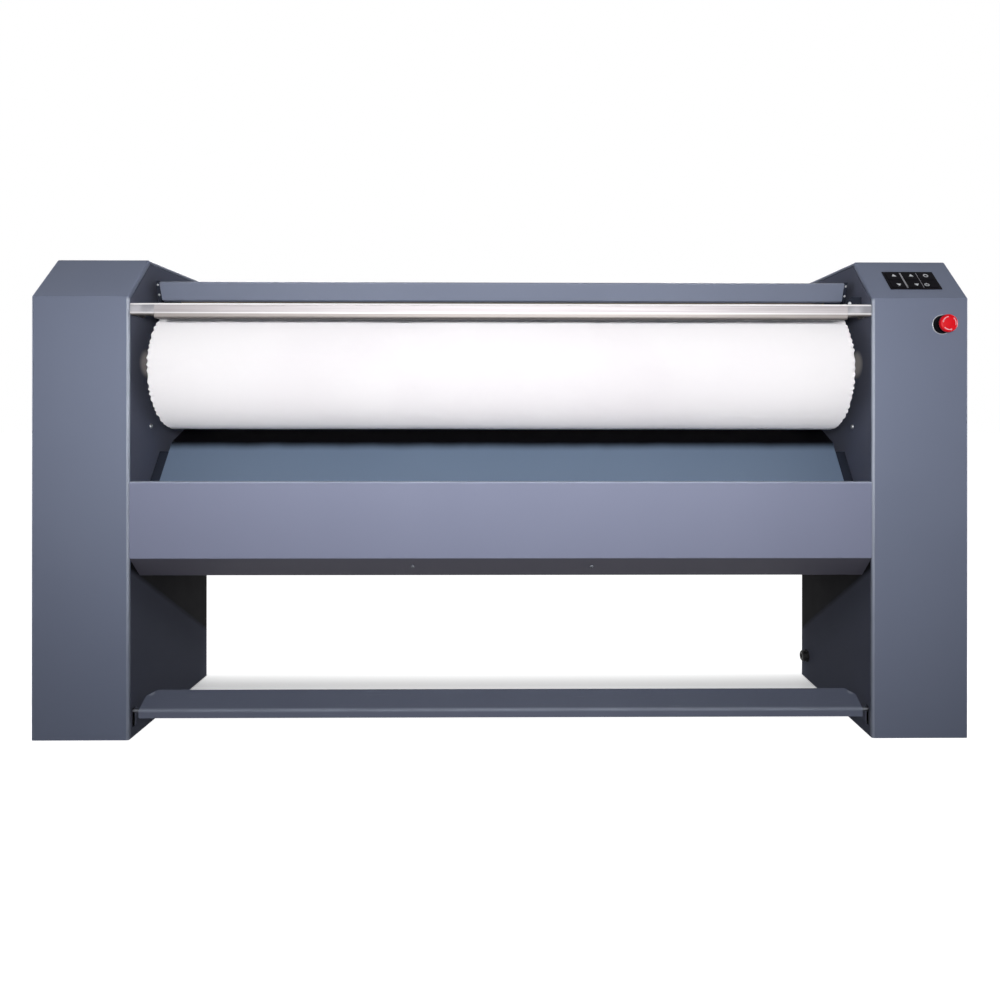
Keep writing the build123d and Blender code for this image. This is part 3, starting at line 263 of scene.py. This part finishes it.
def inner_edge_highlight(finish):
    """Painted highlight on the rounded front edges beside the roll."""
    inward = 1 - (finish.axis("X").size() - wall).within(0.0045, 0.0070)
    front = 1 - finish.axis("Y").within(-0.1980, -0.1960)
    below = 1 - finish.axis("Z").within(0.970, 0.980)
    highlight_breakup = finish.grain(1.0, 4.0, finish.stretched(200.0, 200.0, 5.0)).within(0.15, 0.6)
    # The painted highlight is made stronger higher up and broken into patches by the noise above.
    high = 0.4 + 0.6 * finish.axis("Z").within(0.1, 0.7)
    return inward * front * below * high * (0.35 + 0.45 * highlight_breakup)


# Painted highlight along the inner front edges, in the lighter colour below.
casing_coat = powder_coat("casing_coat", ink(128, 136, 158), ink(121, 129, 151),
                          [(inner_edge_highlight, ink(196, 203, 217))])
dress(casing_coat, "front_casing_left", "front_casing_right", "outer_panels", "rear_panels", "rear_sheet")


def top_fold_highlight(finish):
    """Painted highlight along the apron's upper fold."""
    highlight_breakup = finish.grain(1.0, 4.0, finish.stretched(5.0, 200.0, 200.0)).within(0.15, 0.6)
    return finish.axis("Z").within(0.5682, 0.5694) * (0.35 + 0.45 * highlight_breakup)


def under_fold_shade(finish):
    """Painted shade: the apron's return below its lower fold, which faces down, is painted dark."""
    return 1 - finish.axis("Z").within(0.4005, 0.4035)


# Painted highlight on the top fold, painted shade on the return below the lower fold.
apron_coat = powder_coat("apron_coat", ink(141, 146, 171), ink(135, 140, 165),
                         [(top_fold_highlight, ink(196, 203, 222)), (under_fold_shade, ink(80, 79, 90))])
dress(apron_coat, "apron")


def roll_shadow_above_bend(finish):
    """Painted shadow: behind the roll the plate is painted near black where the roll's shadow falls, fading
    out below its bend.
    """
    streak = finish.grain(1.0, 3.0, finish.stretched(14.0, 4.0, 4.0))
    return (finish.axis("Z") + 0.006 * streak).within(0.634, 0.658)


# Painted shadow of the roll, in near black, above the plate's bend.
linen_coat = powder_coat("linen_coat", ink(109, 125, 147), ink(103, 119, 141),
                         [(roll_shadow_above_bend, ink(6, 5, 9))], 0.40)
dress(linen_coat, "linen_plate")


# ---------------------------------------------------------------- inner frames and beams
# Load-bearing trays of thicker plate and the two square tubes between them, in a duller coat.
# A painted pale glow lies on the walls beside the roll's front, and a painted shadow of the apron on the
# walls behind it. Small brackets are painted dark for the shade around them.
def roll_glow_spot(finish):
    """A painted pale glow on the wall beside the roll's front."""
    inside = 1 - finish.axis("X").size().within(wall + 0.0005, wall + 0.0020)
    back = (finish.axis("Y") + 0.119) * (1 / 0.038)
    up = (finish.axis("Z") - 0.8365) * (1 / 0.036)
    return inside * (1 - (back * back + up * up).within(0.0, 1.0)) * 0.9


def apron_shadow(finish):
    """Painted shadow of the apron on the walls behind it, thinning out to the front and down."""
    over = finish.axis("Z") + 0.575 * finish.axis("Y") - 0.265
    low = 1 - finish.axis("Z").within(0.50, 0.52)
    return low * (0.66 * over.within(-0.012, 0.008) + 0.33 * over.within(-0.14, 0.0))


# Painted glow beside the roll and painted shadow of the apron, on the inner walls.
frame_coat = powder_coat("frame_coat", ink(120, 124, 142), ink(111, 115, 132),
                         [(roll_glow_spot, ink(252, 246, 242)), (apron_shadow, ink(7, 6, 9))], 0.7, 0.06)
dress(frame_coat, "inner_frame_left", "inner_frame_right", "cross_beams")
# Painted shade: the small brackets and cover end plates are painted dark for the shade around them.
shade_dark_steel = powder_coat("shade_darkened_steel", ink(43, 47, 59), ink(35, 39, 50), (), 0.6, 0.1)
dress(shade_dark_steel, "switch_bracket", "chest_end_plates", "linen_brackets")


# ---------------------------------------------------------------- zinc-plated and bare steel
# Levers, rods, the motor's bracket, base plates and foot screws are zinc plated.
# Pins, drum and springs stay bare.
def plated(name, light, dark, rough=0.34, scale=60.0):
    finish = Finish(name, Metallic=1.0)
    patch = finish.add("ShaderNodeTexVoronoi", {}, {"Vector": finish.place, "Scale": scale}, "Color")
    tint = finish.add("ShaderNodeSeparateColor", {}, {0: patch}, 0)
    finish.set(finish.shader, {
        "Base_Color": finish.between(tint, dark, light),
        "Roughness": rough + 0.14 * finish.grain(90.0, 3.0),
    })
    finish.relief(finish.grain(700.0, 2.0), 0.00008, 0.4)
    return finish.material


zinc = plated("bright_zinc", ink(202, 204, 206), ink(176, 179, 184))
dress(zinc, "base_plates", "foot_screws", "motor_bracket", "mounting_plate",
      "heater_clamps", "chest_levers", "lift_rods")
dull_zinc = plated("dull_zinc", ink(120, 123, 130), ink(98, 101, 108), 0.5)
dress(dull_zinc, "pedal_arms")


def turned_steel(name, light, dark, rough=0.28):
    """Steel turned or drawn along X: fine rings round the bar."""
    finish = Finish(name, Metallic=1.0)
    rings = finish.grain(1.0, 3.0, finish.stretched(900.0, 12.0, 12.0))
    finish.set(finish.shader, {
        "Base_Color": finish.between(rings, dark, light),
        "Roughness": rough + 0.15 * finish.grain(40.0, 3.0),
    })
    finish.relief(rings, 0.00006, 0.5)
    return finish.material


steel = turned_steel("turned_steel", ink(198, 198, 200), ink(158, 159, 163))
dress(steel, "guard_pins", "pedal_pivots", "return_springs", "roll_drum", "roll_end_discs", "roll_journals",
      "temperature_probe", "e_stop_stem")


# ---------------------------------------------------------------- feet
# Black rubber pads, moulded, under the levelling screws.
def moulded(name, light, dark, rough, pebble, depth=0.00015, shine=0.3):
    finish = Finish(name, Metallic=0.0, Specular_IOR_Level=shine)
    finish.set(finish.shader, {
        "Base_Color": finish.between(finish.grain(30.0, 4.0).within(0.3, 0.75), dark, light),
        "Roughness": rough + 0.12 * finish.grain(70.0, 3.0),
    })
    finish.relief(finish.grain(pebble, 2.0), depth, 0.5)
    return finish.material


dress(moulded("foot_rubber", ink(58, 58, 60), ink(34, 34, 36), 0.72, 500.0), "foot_pads")


# ---------------------------------------------------------------- roll
# Springy felt is wound on the steel drum, and a white cotton sleeve is drawn over it.
# A cord in each hem gathers the sleeve over the felt's rounded ends.
roll_axis = (-0.0465, 0.824)
felt_radius = 0.1384
sleeve_radius = 0.1398
roll_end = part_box("roll_padding")[1].x


def cotton(name, light, dark):
    finish = Finish(name, Metallic=0.0, Specular_IOR_Level=0.2, Diffuse_Roughness=0.5, Sheen_Weight=0.08,
                    Sheen_Roughness=0.5)
    up, back = finish.axis("Z") - roll_axis[1], finish.axis("Y") - roll_axis[0]
    around = finish.add("ShaderNodeMath", {"operation": "ARCTAN2"}, {0: up, 1: back})
    thread = 0.0016
    warp = (finish.axis("X") * (2 * math.pi / thread)).wave()
    weft = (around * (2 * math.pi * sleeve_radius / thread)).wave()
    slub = finish.grain(1.0, 3.0, finish.stretched(18.0, 260.0, 260.0))
    scorch = finish.grain(5.0, 4.0).within(0.35, 0.75)
    # Painted light: the sleeve is painted whiter towards its ends, standing in for light that falls off
    # there; the middle keeps a random scorch tone.
    lit_ends = finish.axis("X").size().within(0.30, 0.74)
    mottled_middle = finish.between(0.75 * scorch + 0.25 * slub, dark, light)
    finish.set(finish.shader, {
        "Base_Color": finish.between(lit_ends, mottled_middle, ink(254, 252, 254)),
        "Roughness": 0.84 + 0.12 * slub,
    })
    finish.relief(0.5 + 0.25 * warp * weft + 0.25 * slub, 0.00028, 0.55)
    return finish.material


sleeve_cotton = cotton("sleeve_cotton", ink(247, 245, 247), ink(242, 239, 242))


def turned(profile, steps, wobble=None):
    """A skin of rings about the roll's axis, from (x, radius) points; wobble moves a point by its angle."""
    mesh = bmesh.new()
    rings = []
    for k, (x, radius) in enumerate(profile):
        ring = []
        for i in range(steps):
            turn = 2 * math.pi * i / steps
            dx, dr = wobble(k, turn) if wobble else (0.0, 0.0)
            ring.append(mesh.verts.new((
                x + dx,
                roll_axis[0] + (radius + dr) * math.cos(turn),
                roll_axis[1] + (radius + dr) * math.sin(turn))))
        rings.append(ring)
    for first, second in zip(rings, rings[1:]):
        for i in range(steps):
            j = (i + 1) % steps
            mesh.faces.new((first[i], first[j], second[j], second[i]))
    mesh.normal_update()
    return mesh, rings


def piece(name, mesh, material, body, smooth=True):
    """Turns worked mesh into a piece that rides on a body."""
    data = bpy.data.meshes.new(name)
    bmesh.ops.recalc_face_normals(mesh, faces=mesh.faces)
    mesh.to_mesh(data)
    mesh.free()
    for face in data.polygons:
        face.use_smooth = smooth
    data.materials.append(material)
    made = bpy.data.objects.new(name, data)
    bpy.context.scene.collection.objects.link(made)
    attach(made, body)
    return made


felt_ends = [(0.0002, 0.1256), (0.0000, 0.1290), (0.0012, 0.1325), (0.0045, 0.1358), (0.010, 0.1378),
             (0.017, felt_radius)]
felt_line = [(x - roll_end, r) for x, r in felt_ends] + [(roll_end - x, r) for x, r in reversed(felt_ends)]
felt_steps = 120
felt_mesh, felt_rings = turned(felt_line, felt_steps)
left_bore, right_bore = felt_rings[0], felt_rings[-1]
for i in range(felt_steps):
    j = (i + 1) % felt_steps
    felt_mesh.faces.new((left_bore[i], left_bore[j], right_bore[j], right_bore[i]))


def felt():
    finish = Finish("wound_felt", Metallic=0.0, Specular_IOR_Level=0.15, Sheen_Weight=0.4)
    up, back = finish.axis("Z") - roll_axis[1], finish.axis("Y") - roll_axis[0]
    radius = (up * up + back * back) ** 0.5
    layer = 0.0045
    turns = (radius * (2 * math.pi / layer)).wave().within(-1.0, -0.6)
    fuzz = finish.grain(900.0, 5.0)
    wool = finish.between(fuzz, ink(206, 201, 192), ink(228, 224, 216))
    finish.set(finish.shader, {
        "Base_Color": finish.between(turns, ink(150, 144, 134), wool),
        "Roughness": 0.9 + 0.08 * fuzz,
    })
    finish.relief(0.6 * turns + 0.4 * fuzz, 0.0007, 0.8)
    return finish.material


roll_felt = piece("roll_felt", felt_mesh, felt(), "roll")
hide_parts("roll_padding")

hem_from = roll_end - 0.011
sleeve_rows, sleeve_steps, hem_steps = 96, 288, 1056


def ease(x):
    """Slight hollows and rises of the felt showing through the sleeve."""
    return 0.00022 * math.sin(9.1 * x + 0.6) + 0.00012 * math.sin(23.7 * x + 2.0)


sleeve_places = [-hem_from + i * 2 * hem_from / sleeve_rows for i in range(sleeve_rows + 1)]
sleeve_line = [(x, sleeve_radius - 0.0003 + ease(x)) for x in sleeve_places]


def draw_of_cord(k, turn):
    """Folds that run in from the gathered hem and die out."""
    x = abs(sleeve_places[k])
    reach = 0.05
    share = max(0.0, (x - hem_from + reach) / reach) ** 2
    fold = math.sin(61 * turn + 1.3 * math.sin(5 * turn)) + 0.6 * math.sin(97 * turn + 2.0)
    return 0.0, 0.00022 * share * (fold - 1.0)


sleeve_mesh, _ = turned(sleeve_line, sleeve_steps, draw_of_cord)
roll_sleeve = piece("roll_sleeve", sleeve_mesh, sleeve_cotton, "roll")


def hem(side):
    """The gathered end: from the sleeve over the felt's edge to the cord channel."""
    line = [(0.0122, 0.1397), (0.0085, 0.1397), (0.0055, 0.1390), (0.0028, 0.1374), (0.0012, 0.1352),
            (0.0004, 0.1328), (0.0002, 0.1304), (0.0004, 0.1285), (0.0014, 0.1272), (0.0030, 0.1268)]
    rise = [0.0, 0.45, 0.9, 1.0, 0.9, 0.8, 0.7, 0.8, 0.5, 0.2]

    def gather(k, turn):
        tuck = 0.5 + 0.5 * math.sin(53 * turn + 1.6 * math.sin(7 * turn + side) + 1.1 * math.sin(16 * turn))
        uneven = 0.75 + 0.25 * math.sin(11 * turn + 1.0 + side)
        puff = rise[k] * uneven * tuck ** 1.4
        return side * (0.0026 * puff - 0.0010 * rise[k]), -0.0014 * rise[k] * (1 - tuck)

    mesh, _ = turned([(side * (roll_end - x), r) for x, r in line], hem_steps, gather)
    name = "roll_hem_right" if side > 0 else "roll_hem_left"
    return piece(name, mesh, sleeve_cotton, "roll")


hems = [hem(-1), hem(1)]


# ---------------------------------------------------------------- bearings, chain and gear motor
# Grey cast housings, an oiled roller chain over two sprockets, and a worm gear motor.
def cast(name, light, dark):
    finish = Finish(name, Metallic=0.15, Specular_IOR_Level=0.5)
    sand = finish.grain(420.0, 5.0)
    finish.set(finish.shader, {
        "Base_Color": finish.between(0.6 * finish.grain(12.0, 3.0) + 0.4 * sand, dark, light),
        "Roughness": 0.55 + 0.15 * sand,
    })
    finish.relief(sand, 0.0004, 0.6)
    return finish.material


dress(cast("cast_grey", ink(118, 122, 126), ink(92, 96, 100)), "roll_bearings", "gear_motor")
oiled = plated("oiled_steel", ink(110, 106, 100), ink(70, 68, 66), 0.3, 120.0)
dress(oiled, "drive_chain", "roll_sprocket", "motor_sprocket")
dress(turned_steel("sintered_bronze", ink(190, 150, 96), ink(150, 112, 66), 0.4), "chest_bushes")

# ---------------------------------------------------------------- heated chest
# A polished curved shoe with hairpin heaters clamped on its back, mineral wool and a folded cover.
dress(turned_steel("polished_steel", ink(226, 226, 228), ink(206, 207, 210), 0.1), "chest_shoe")
dress(turned_steel("heater_sheath", ink(128, 120, 108), ink(92, 84, 76), 0.45), "heaters")
dress(moulded("mineral_wool", ink(196, 176, 116), ink(150, 130, 78), 0.9, 240.0, 0.003), "chest_blanket")
cover_coat = powder_coat("cover_coat", ink(130, 137, 156), ink(122, 129, 148), (), 0.36)
dress(cover_coat, "chest_cover")


# ---------------------------------------------------------------- finger guard
# A hollow extruded rail, brushed along its length and anodised bright, with plugged end pieces.
def brushed_rail():
    """Painted highlights on the top rib and on a line in the lower third, a satin flute between them,
    painted shade below that line and on the underside.
    """
    low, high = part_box("guard_bar")
    finish = Finish("brushed_rail", Metallic=1.0)
    hair = finish.grain(1.0, 4.0, finish.stretched(3.0, 900.0, 900.0))
    smear = finish.grain(1.0, 3.0, finish.stretched(2.2, 130.0, 130.0)).within(0.35, 0.7)
    blotch = finish.grain(26.0, 4.0).within(0.4, 0.7)
    up = (finish.axis("Z") - low.z) / (high.z - low.z)
    # Painted highlights: a light top rib and a light line in the lower third.
    top_highlight = up.within(0.86, 0.92)
    line_highlight = up.within(0.31, 0.34) * (1 - up.within(0.39, 0.43))
    # Painted shade below that line and on the underside.
    lower = 1 - up.within(0.28, 0.33)
    under = 1 - up.within(0.01, 0.05)
    cap = finish.axis("X").size().within(0.765, 0.768)
    satin = finish.between(0.5 * hair + 0.5 * smear, ink(121, 117, 119), ink(160, 156, 158))
    worn_cap = finish.between(0.6 * blotch + 0.4 * hair, ink(104, 104, 109), ink(150, 149, 153))
    flute = finish.between(cap, satin, worn_cap)
    polished = finish.between(hair, ink(160, 158, 159), ink(182, 180, 181))
    ribbed = finish.between(line_highlight, finish.between(top_highlight, flute, ink(238, 236, 237)), polished)
    shown = finish.between(lower, ribbed, finish.between(hair, ink(110, 105, 103), ink(134, 129, 127)))
    finish.set(finish.shader, {
        "Base_Color": finish.between(under, shown, ink(76, 72, 72)),
        "Roughness": 0.42 + 0.12 * hair + 0.06 * smear,
    })
    finish.relief(hair, 0.00005, 0.6)
    return finish.material


rail_finish = brushed_rail()
dress(rail_finish, "guard_bar", "guard_end_arms")

# ---------------------------------------------------------------- pedal
# A bar folded from sheet across the whole width, with a painted highlight along the fold and on the rear
# outer corners.
pedal = Finish("pedal_coat", Metallic=0.0, Specular_IOR_Level=0.2)
fold_height, fold_depth = 0.0645, -0.1890
near_fold = ((pedal.axis("Z") - fold_height) ** 2 + (pedal.axis("Y") - fold_depth) ** 2) ** 0.5
patchy = 0.4 + 0.6 * pedal.grain(1.0, 4.0, pedal.stretched(9.0, 60.0, 60.0))
# Painted highlight along the fold, broken into patches.
fold_highlight = (1 - near_fold.within(0.0015, 0.006)) * patchy
scuff = pedal.grain(1.0, 5.0, pedal.stretched(14.0, 220.0, 220.0)).within(0.62, 0.8)
out = pedal.axis("X").size() - 0.795
back = pedal.axis("Y") + 0.146
up = pedal.axis("Z") - 0.0855
# Painted highlight on the rear outer corners.
corner_highlight = 1 - ((out * out + back * back + up * up) ** 0.5).within(0.003, 0.010)
pedal.set(pedal.shader, {
    "Base_Color": pedal.between(
        0.8 * fold_highlight + 0.16 * scuff + 0.7 * corner_highlight,
        pedal.between(pedal.grain(6.0, 3.0), ink(106, 112, 131), ink(116, 122, 141)),
        ink(168, 176, 194)),
    "Roughness": 0.46 - 0.12 * fold_highlight + 0.08 * pedal.grain(24.0, 4.0),
})
pedal.relief(pedal.grain(520.0, 2.0), 0.00012, 0.5)
dress(pedal.material, "pedal_bar")

# ---------------------------------------------------------------- key pad
# A black moulded bezel let into the console's slope, with six keys that carry printed signs,
# and a pale divider between each two columns.
black = moulded("black_plastic", ink(20, 18, 24), ink(11, 10, 14), 0.5, 900.0, 0.00006, 0.04)
dress(black, "keypad_bezel", "e_stop_collar")
key_black = moulded("key_plastic", ink(16, 14, 21), ink(8, 7, 12), 0.5, 700.0, 0.00005, 0.03)
dress(key_black, "key_1_upper", "key_1_lower", "key_2_upper", "key_2_lower", "key_3_upper", "key_3_lower")
print_white = moulded("sign_print", ink(238, 240, 244), ink(222, 225, 230), 0.5, 600.0, 0.00003)

lean = math.sqrt(0.5)
slope_out, slope_up = Vector((0, -lean, lean)), Vector((0, lean, lean))


def face_of(name, lift=0.0):
    """The middle of a node's face on the console's slope, raised by lift."""
    low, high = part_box(name)
    level = max(v.co.z - v.co.y for v in nodes[name].data.vertices) * lean + lift
    centre = (low + high) / 2
    return centre + slope_out * (level - centre.dot(slope_out))


def on_key(name, shapes, right, up):
    """Signs printed on a key: flat outlines in millimetres about a place off its middle."""
    clear, ink_depth = 0.00006, 0.00012
    centre = face_of(name, clear)
    mesh = bmesh.new()
    for outline in shapes:
        points = [mesh.verts.new(centre + Vector(((x + right) / 1000, 0, 0)) + slope_up * ((y + up) / 1000))
                  for x, y in outline]
        mesh.faces.new(points)
    top = bmesh.ops.extrude_face_region(mesh, geom=mesh.faces[:])["geom"]
    raised = [g for g in top if isinstance(g, bmesh.types.BMVert)]
    bmesh.ops.translate(mesh, verts=raised, vec=slope_out * ink_depth)
    return piece(f"{name}_sign", mesh, print_white, f"{name}_cap", smooth=False)


def ring_strip(inner, outer, start, end, steps):
    """A band between two circles, as four-cornered pieces."""
    turns = [math.radians(start + (end - start) * i / steps) for i in range(steps + 1)]
    return [[(inner * math.cos(a), inner * math.sin(a)), (outer * math.cos(a), outer * math.sin(a)),
             (outer * math.cos(b), outer * math.sin(b)), (inner * math.cos(b), inner * math.sin(b))]
            for a, b in zip(turns, turns[1:])]


pad_face = face_of("keypad_bezel")
divider_grey = moulded("divider_grey", ink(176, 176, 182), ink(150, 150, 156), 0.5, 600.0, 0.00003)
divider_line = ((-0.0285, 0.0), (-0.0280, 0.0004), (0.0280, 0.0004), (0.0285, 0.0))
for number, left, right, half in (
    (1, "key_1_upper", "key_2_upper", 0.0018),
    (2, "key_2_upper", "key_3_upper", 0.0005),
):
    middle = (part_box(left)[1].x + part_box(right)[0].x) / 2
    mesh = bmesh.new()
    rows = []
    for along, rise in divider_line:
        point = pad_face + slope_up * along + slope_out * rise
        rows.append([mesh.verts.new((middle + x, point.y, point.z)) for x in (-half, half)])
    for first, second in zip(rows, rows[1:]):
        mesh.faces.new((first[0], first[1], second[1], second[0]))
    for edge in (0, 1):
        mesh.faces.new([row[edge] for row in rows])
    mesh.faces.new((rows[0][0], rows[0][1], rows[3][1], rows[3][0]))
    piece(f"keypad_divider_{number}", mesh, divider_grey, "machine", smooth=False)

arrow_up = [[(-5.2, -4.0), (5.2, -4.0), (0.0, 5.0)]]
arrow_down = [[(-5.2, 4.0), (0.0, -5.0), (5.2, 4.0)]]
on_key("key_1_upper", arrow_up, 1.0, 3.6)
on_key("key_1_lower", arrow_down, 2.0, -3.6)
on_key("key_2_upper", arrow_up, 4.0, 3.6)
on_key("key_2_lower", arrow_down, 5.5, -3.6)
on_key("key_3_upper", ring_strip(3.4, 5.6, 0, 360, 28), 1.0, 2.4)
stroke = [[(-0.9, 0.6), (0.9, 0.6), (0.9, 6.6), (-0.9, 6.6)]]
on_key("key_3_lower", ring_strip(3.4, 5.6, 120, 420, 24) + stroke, -8.5, -3.6)

# ---------------------------------------------------------------- emergency stop
# A red mushroom head on a steel stem; three pale arrows show the way it is turned to let go.
stop_x, stop_z = 0.9745, 0.920
head_front, flat_radius = -0.2344, 0.0165
flutes, side_rows = 24, range(6, 10)


def crown(radius):
    """The head's front, slightly domed."""
    return head_front + 0.0010 * (radius / flat_radius) ** 2


def lathe_y(line, steps, ripple=None):
    """Rings about the stop's axis from (radius, y) points, closed at a radius of nought."""
    mesh = bmesh.new()
    rings = []
    for k, (radius, y) in enumerate(line):
        if radius == 0:
            rings.append([mesh.verts.new((stop_x, y, stop_z))])
            continue
        ring = []
        for i in range(steps):
            turn = 2 * math.pi * i / steps
            out = radius + (ripple(k, turn) if ripple else 0.0)
            ring.append(mesh.verts.new((stop_x + out * math.cos(turn), y, stop_z + out * math.sin(turn))))
        rings.append(ring)
    for first, second in zip(rings, rings[1:]):
        for i in range(steps):
            j = (i + 1) % steps
            corners = [first[i % len(first)], first[j % len(first)],
                       second[j % len(second)], second[i % len(second)]]
            corners = [c for n, c in enumerate(corners) if c not in corners[:n]]
            mesh.faces.new(corners)
    return mesh


def grip(k, turn):
    """Shallow flutes round the head's side."""
    return -0.00035 * (0.5 + 0.5 * math.cos(flutes * turn)) ** 3 if k in side_rows else 0.0


head_line = [(0, crown(0))] + [(r, crown(r)) for r in (0.004, 0.008, 0.0115, 0.0145, flat_radius)]
head_line += [(0.0183, -0.2326), (0.0194, -0.2312), (0.01995, -0.2288), (0.0198, -0.2266),
              (0.0188, -0.2252), (0.0168, -0.2245), (0.0120, -0.2244), (0, -0.2244)]
red = Finish("stop_red", Metallic=0.0, Specular_IOR_Level=0.25)
red.set(red.shader, {
    "Base_Color": red.between(red.grain(60.0, 3.0), ink(238, 0, 22), ink(250, 2, 30)),
    "Roughness": 0.34 + 0.1 * red.grain(300.0, 3.0),
})
red.relief(red.grain(1500.0, 2.0), 0.00004, 0.5)
head_mesh = lathe_y(head_line, 96, grip)
stop_head = piece("stop_head_moulding", head_mesh, red.material, "stop_head")
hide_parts("e_stop_cap")

pink = moulded("arrow_print", ink(252, 196, 204), ink(244, 176, 186), 0.5, 800.0, 0.00003)
arc, point_length = 62, 14
for number in range(3):
    begin = 100 + 120 * number
    bands = ring_strip(0.0132, 0.0152, begin, begin + arc, 12)
    wing, tip = math.radians(begin + arc), math.radians(begin + arc + point_length)
    corners = ((0.0120, wing), (0.0163, wing), (0.0142, tip))
    bands.append([(r * math.cos(a), r * math.sin(a)) for r, a in corners])
    mesh = bmesh.new()
    for band in bands:
        mesh.faces.new([mesh.verts.new((stop_x + x, crown(math.hypot(x, z)) - 0.00008, stop_z + z))
                        for x, z in band])
    top = bmesh.ops.extrude_face_region(mesh, geom=mesh.faces[:])["geom"]
    raised = [g for g in top if isinstance(g, bmesh.types.BMVert)]
    bmesh.ops.translate(mesh, verts=raised, vec=(0, -0.0001, 0))
    piece(f"stop_arrow_{number + 1}", mesh, pink, "stop_head", smooth=False)

ring_line = [(0.0201, -0.2016), (0.0201, -0.2030), (0.0204, -0.2036), (0.0212, -0.2037), (0.0218, -0.2033),
             (0.0220, -0.2026), (0.0220, -0.2016)]
satin = turned_steel("satin_ring", ink(206, 208, 212), ink(178, 180, 186), 0.3)
piece("stop_trim_ring", lathe_y(ring_line, 72), satin, "machine")

# ---------------------------------------------------------------- electrics and gland
# Grey contactors and terminals on their plate, the key pad's green board, and a black cable gland.
grey_plastic = moulded("grey_plastic", ink(176, 178, 178), ink(156, 158, 160), 0.45, 600.0)
dress(grey_plastic, "contact_block", "contactors", "terminal_blocks")
dress(moulded("gland_nylon", ink(30, 30, 32), ink(18, 18, 20), 0.42, 800.0), "cable_gland")
board = Finish("circuit_board", Metallic=0.0, Specular_IOR_Level=0.5, Coat_Weight=0.3)
lines = board.add("ShaderNodeTexBrick", {}, {
    "Vector": board.stretched(1.0, 1.4, 1.0), "Scale": 90.0, "Mortar_Size": 0.04,
    "Color1": (0.0, 0.0, 0.0), "Color2": (0.0, 0.0, 0.0), "Mortar": (1.0, 1.0, 1.0)}, "Fac")
board.set(board.shader, {
    "Base_Color": board.between(lines, ink(18, 92, 52), ink(88, 140, 74)),
    "Roughness": 0.4 + 0.1 * board.grain(120.0, 3.0),
})
dress(board.material, "control_board")


# ---------------------------------------------------------------- screws
# Zinc button-head screws with a hexagon socket hold the frames, apron, cover ends and switch bracket.
def button_screw(name, place, facing, radius, body, metal=zinc):
    """A domed head whose flat underside sits on the sheet at that place."""
    mesh = bmesh.new()
    rise = radius * 0.55
    socket = radius * 0.42
    line = [(radius, 0.0), (radius, rise * 0.18), (radius * 0.93, rise * 0.45), (radius * 0.75, rise * 0.8),
            (radius * 0.56, rise)]
    steps = 24
    turns = [2 * math.pi * i / steps for i in range(steps)]
    rings = [[mesh.verts.new((r * math.cos(a), r * math.sin(a), h)) for a in turns] for r, h in line]
    for depth in (rise * 0.98, rise * 0.35):
        ring = []
        for i in range(steps):
            side, along = divmod(i, 4)
            a, b = math.radians(60 * side), math.radians(60 * side + 60)
            x = socket * (math.cos(a) + (math.cos(b) - math.cos(a)) * along / 4)
            y = socket * (math.sin(a) + (math.sin(b) - math.sin(a)) * along / 4)
            ring.append(mesh.verts.new((x, y, depth)))
        rings.append(ring)
    for first, second in zip(rings, rings[1:]):
        for i in range(steps):
            j = (i + 1) % steps
            mesh.faces.new((first[i], first[j], second[j], second[i]))
    mesh.faces.new(rings[-1])
    mesh.faces.new(rings[0])
    turn = Vector((0, 0, 1)).rotation_difference(Vector(facing).normalized()).to_matrix().to_4x4()
    bmesh.ops.transform(mesh, matrix=Matrix.Translation(place) @ turn, verts=mesh.verts)
    return piece(name, mesh, metal, body, smooth=False)


for side, hand in ((-1, "left"), (1, "right")):
    button_screw(f"wall_screw_{hand}", (side * wall, -0.0975, 0.692), (-side, 0, 0), 0.006, "machine")
    on_strip = (side * 0.200, -0.1793, 0.3806)
    button_screw(f"strip_screw_{hand}", on_strip, (0, -1, -1), 0.0045, "machine", dull_zinc)
    plate_middle = side * (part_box("chest_cover")[1].x + 0.0033)
    for height, up in (("upper", 1.0198), ("lower", 0.9980)):
        place = (plate_middle, -0.1085 + (1.029 - up) / 3, up)
        button_screw(f"cover_screw_{height}_{hand}", place, (0, -3, -1), 0.0028, "chest")

on_bracket = (0.7925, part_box("switch_bracket")[0].y, 0.9745)
button_screw("bracket_bolt", on_bracket, (0, -1, 0), 0.0040, "machine")
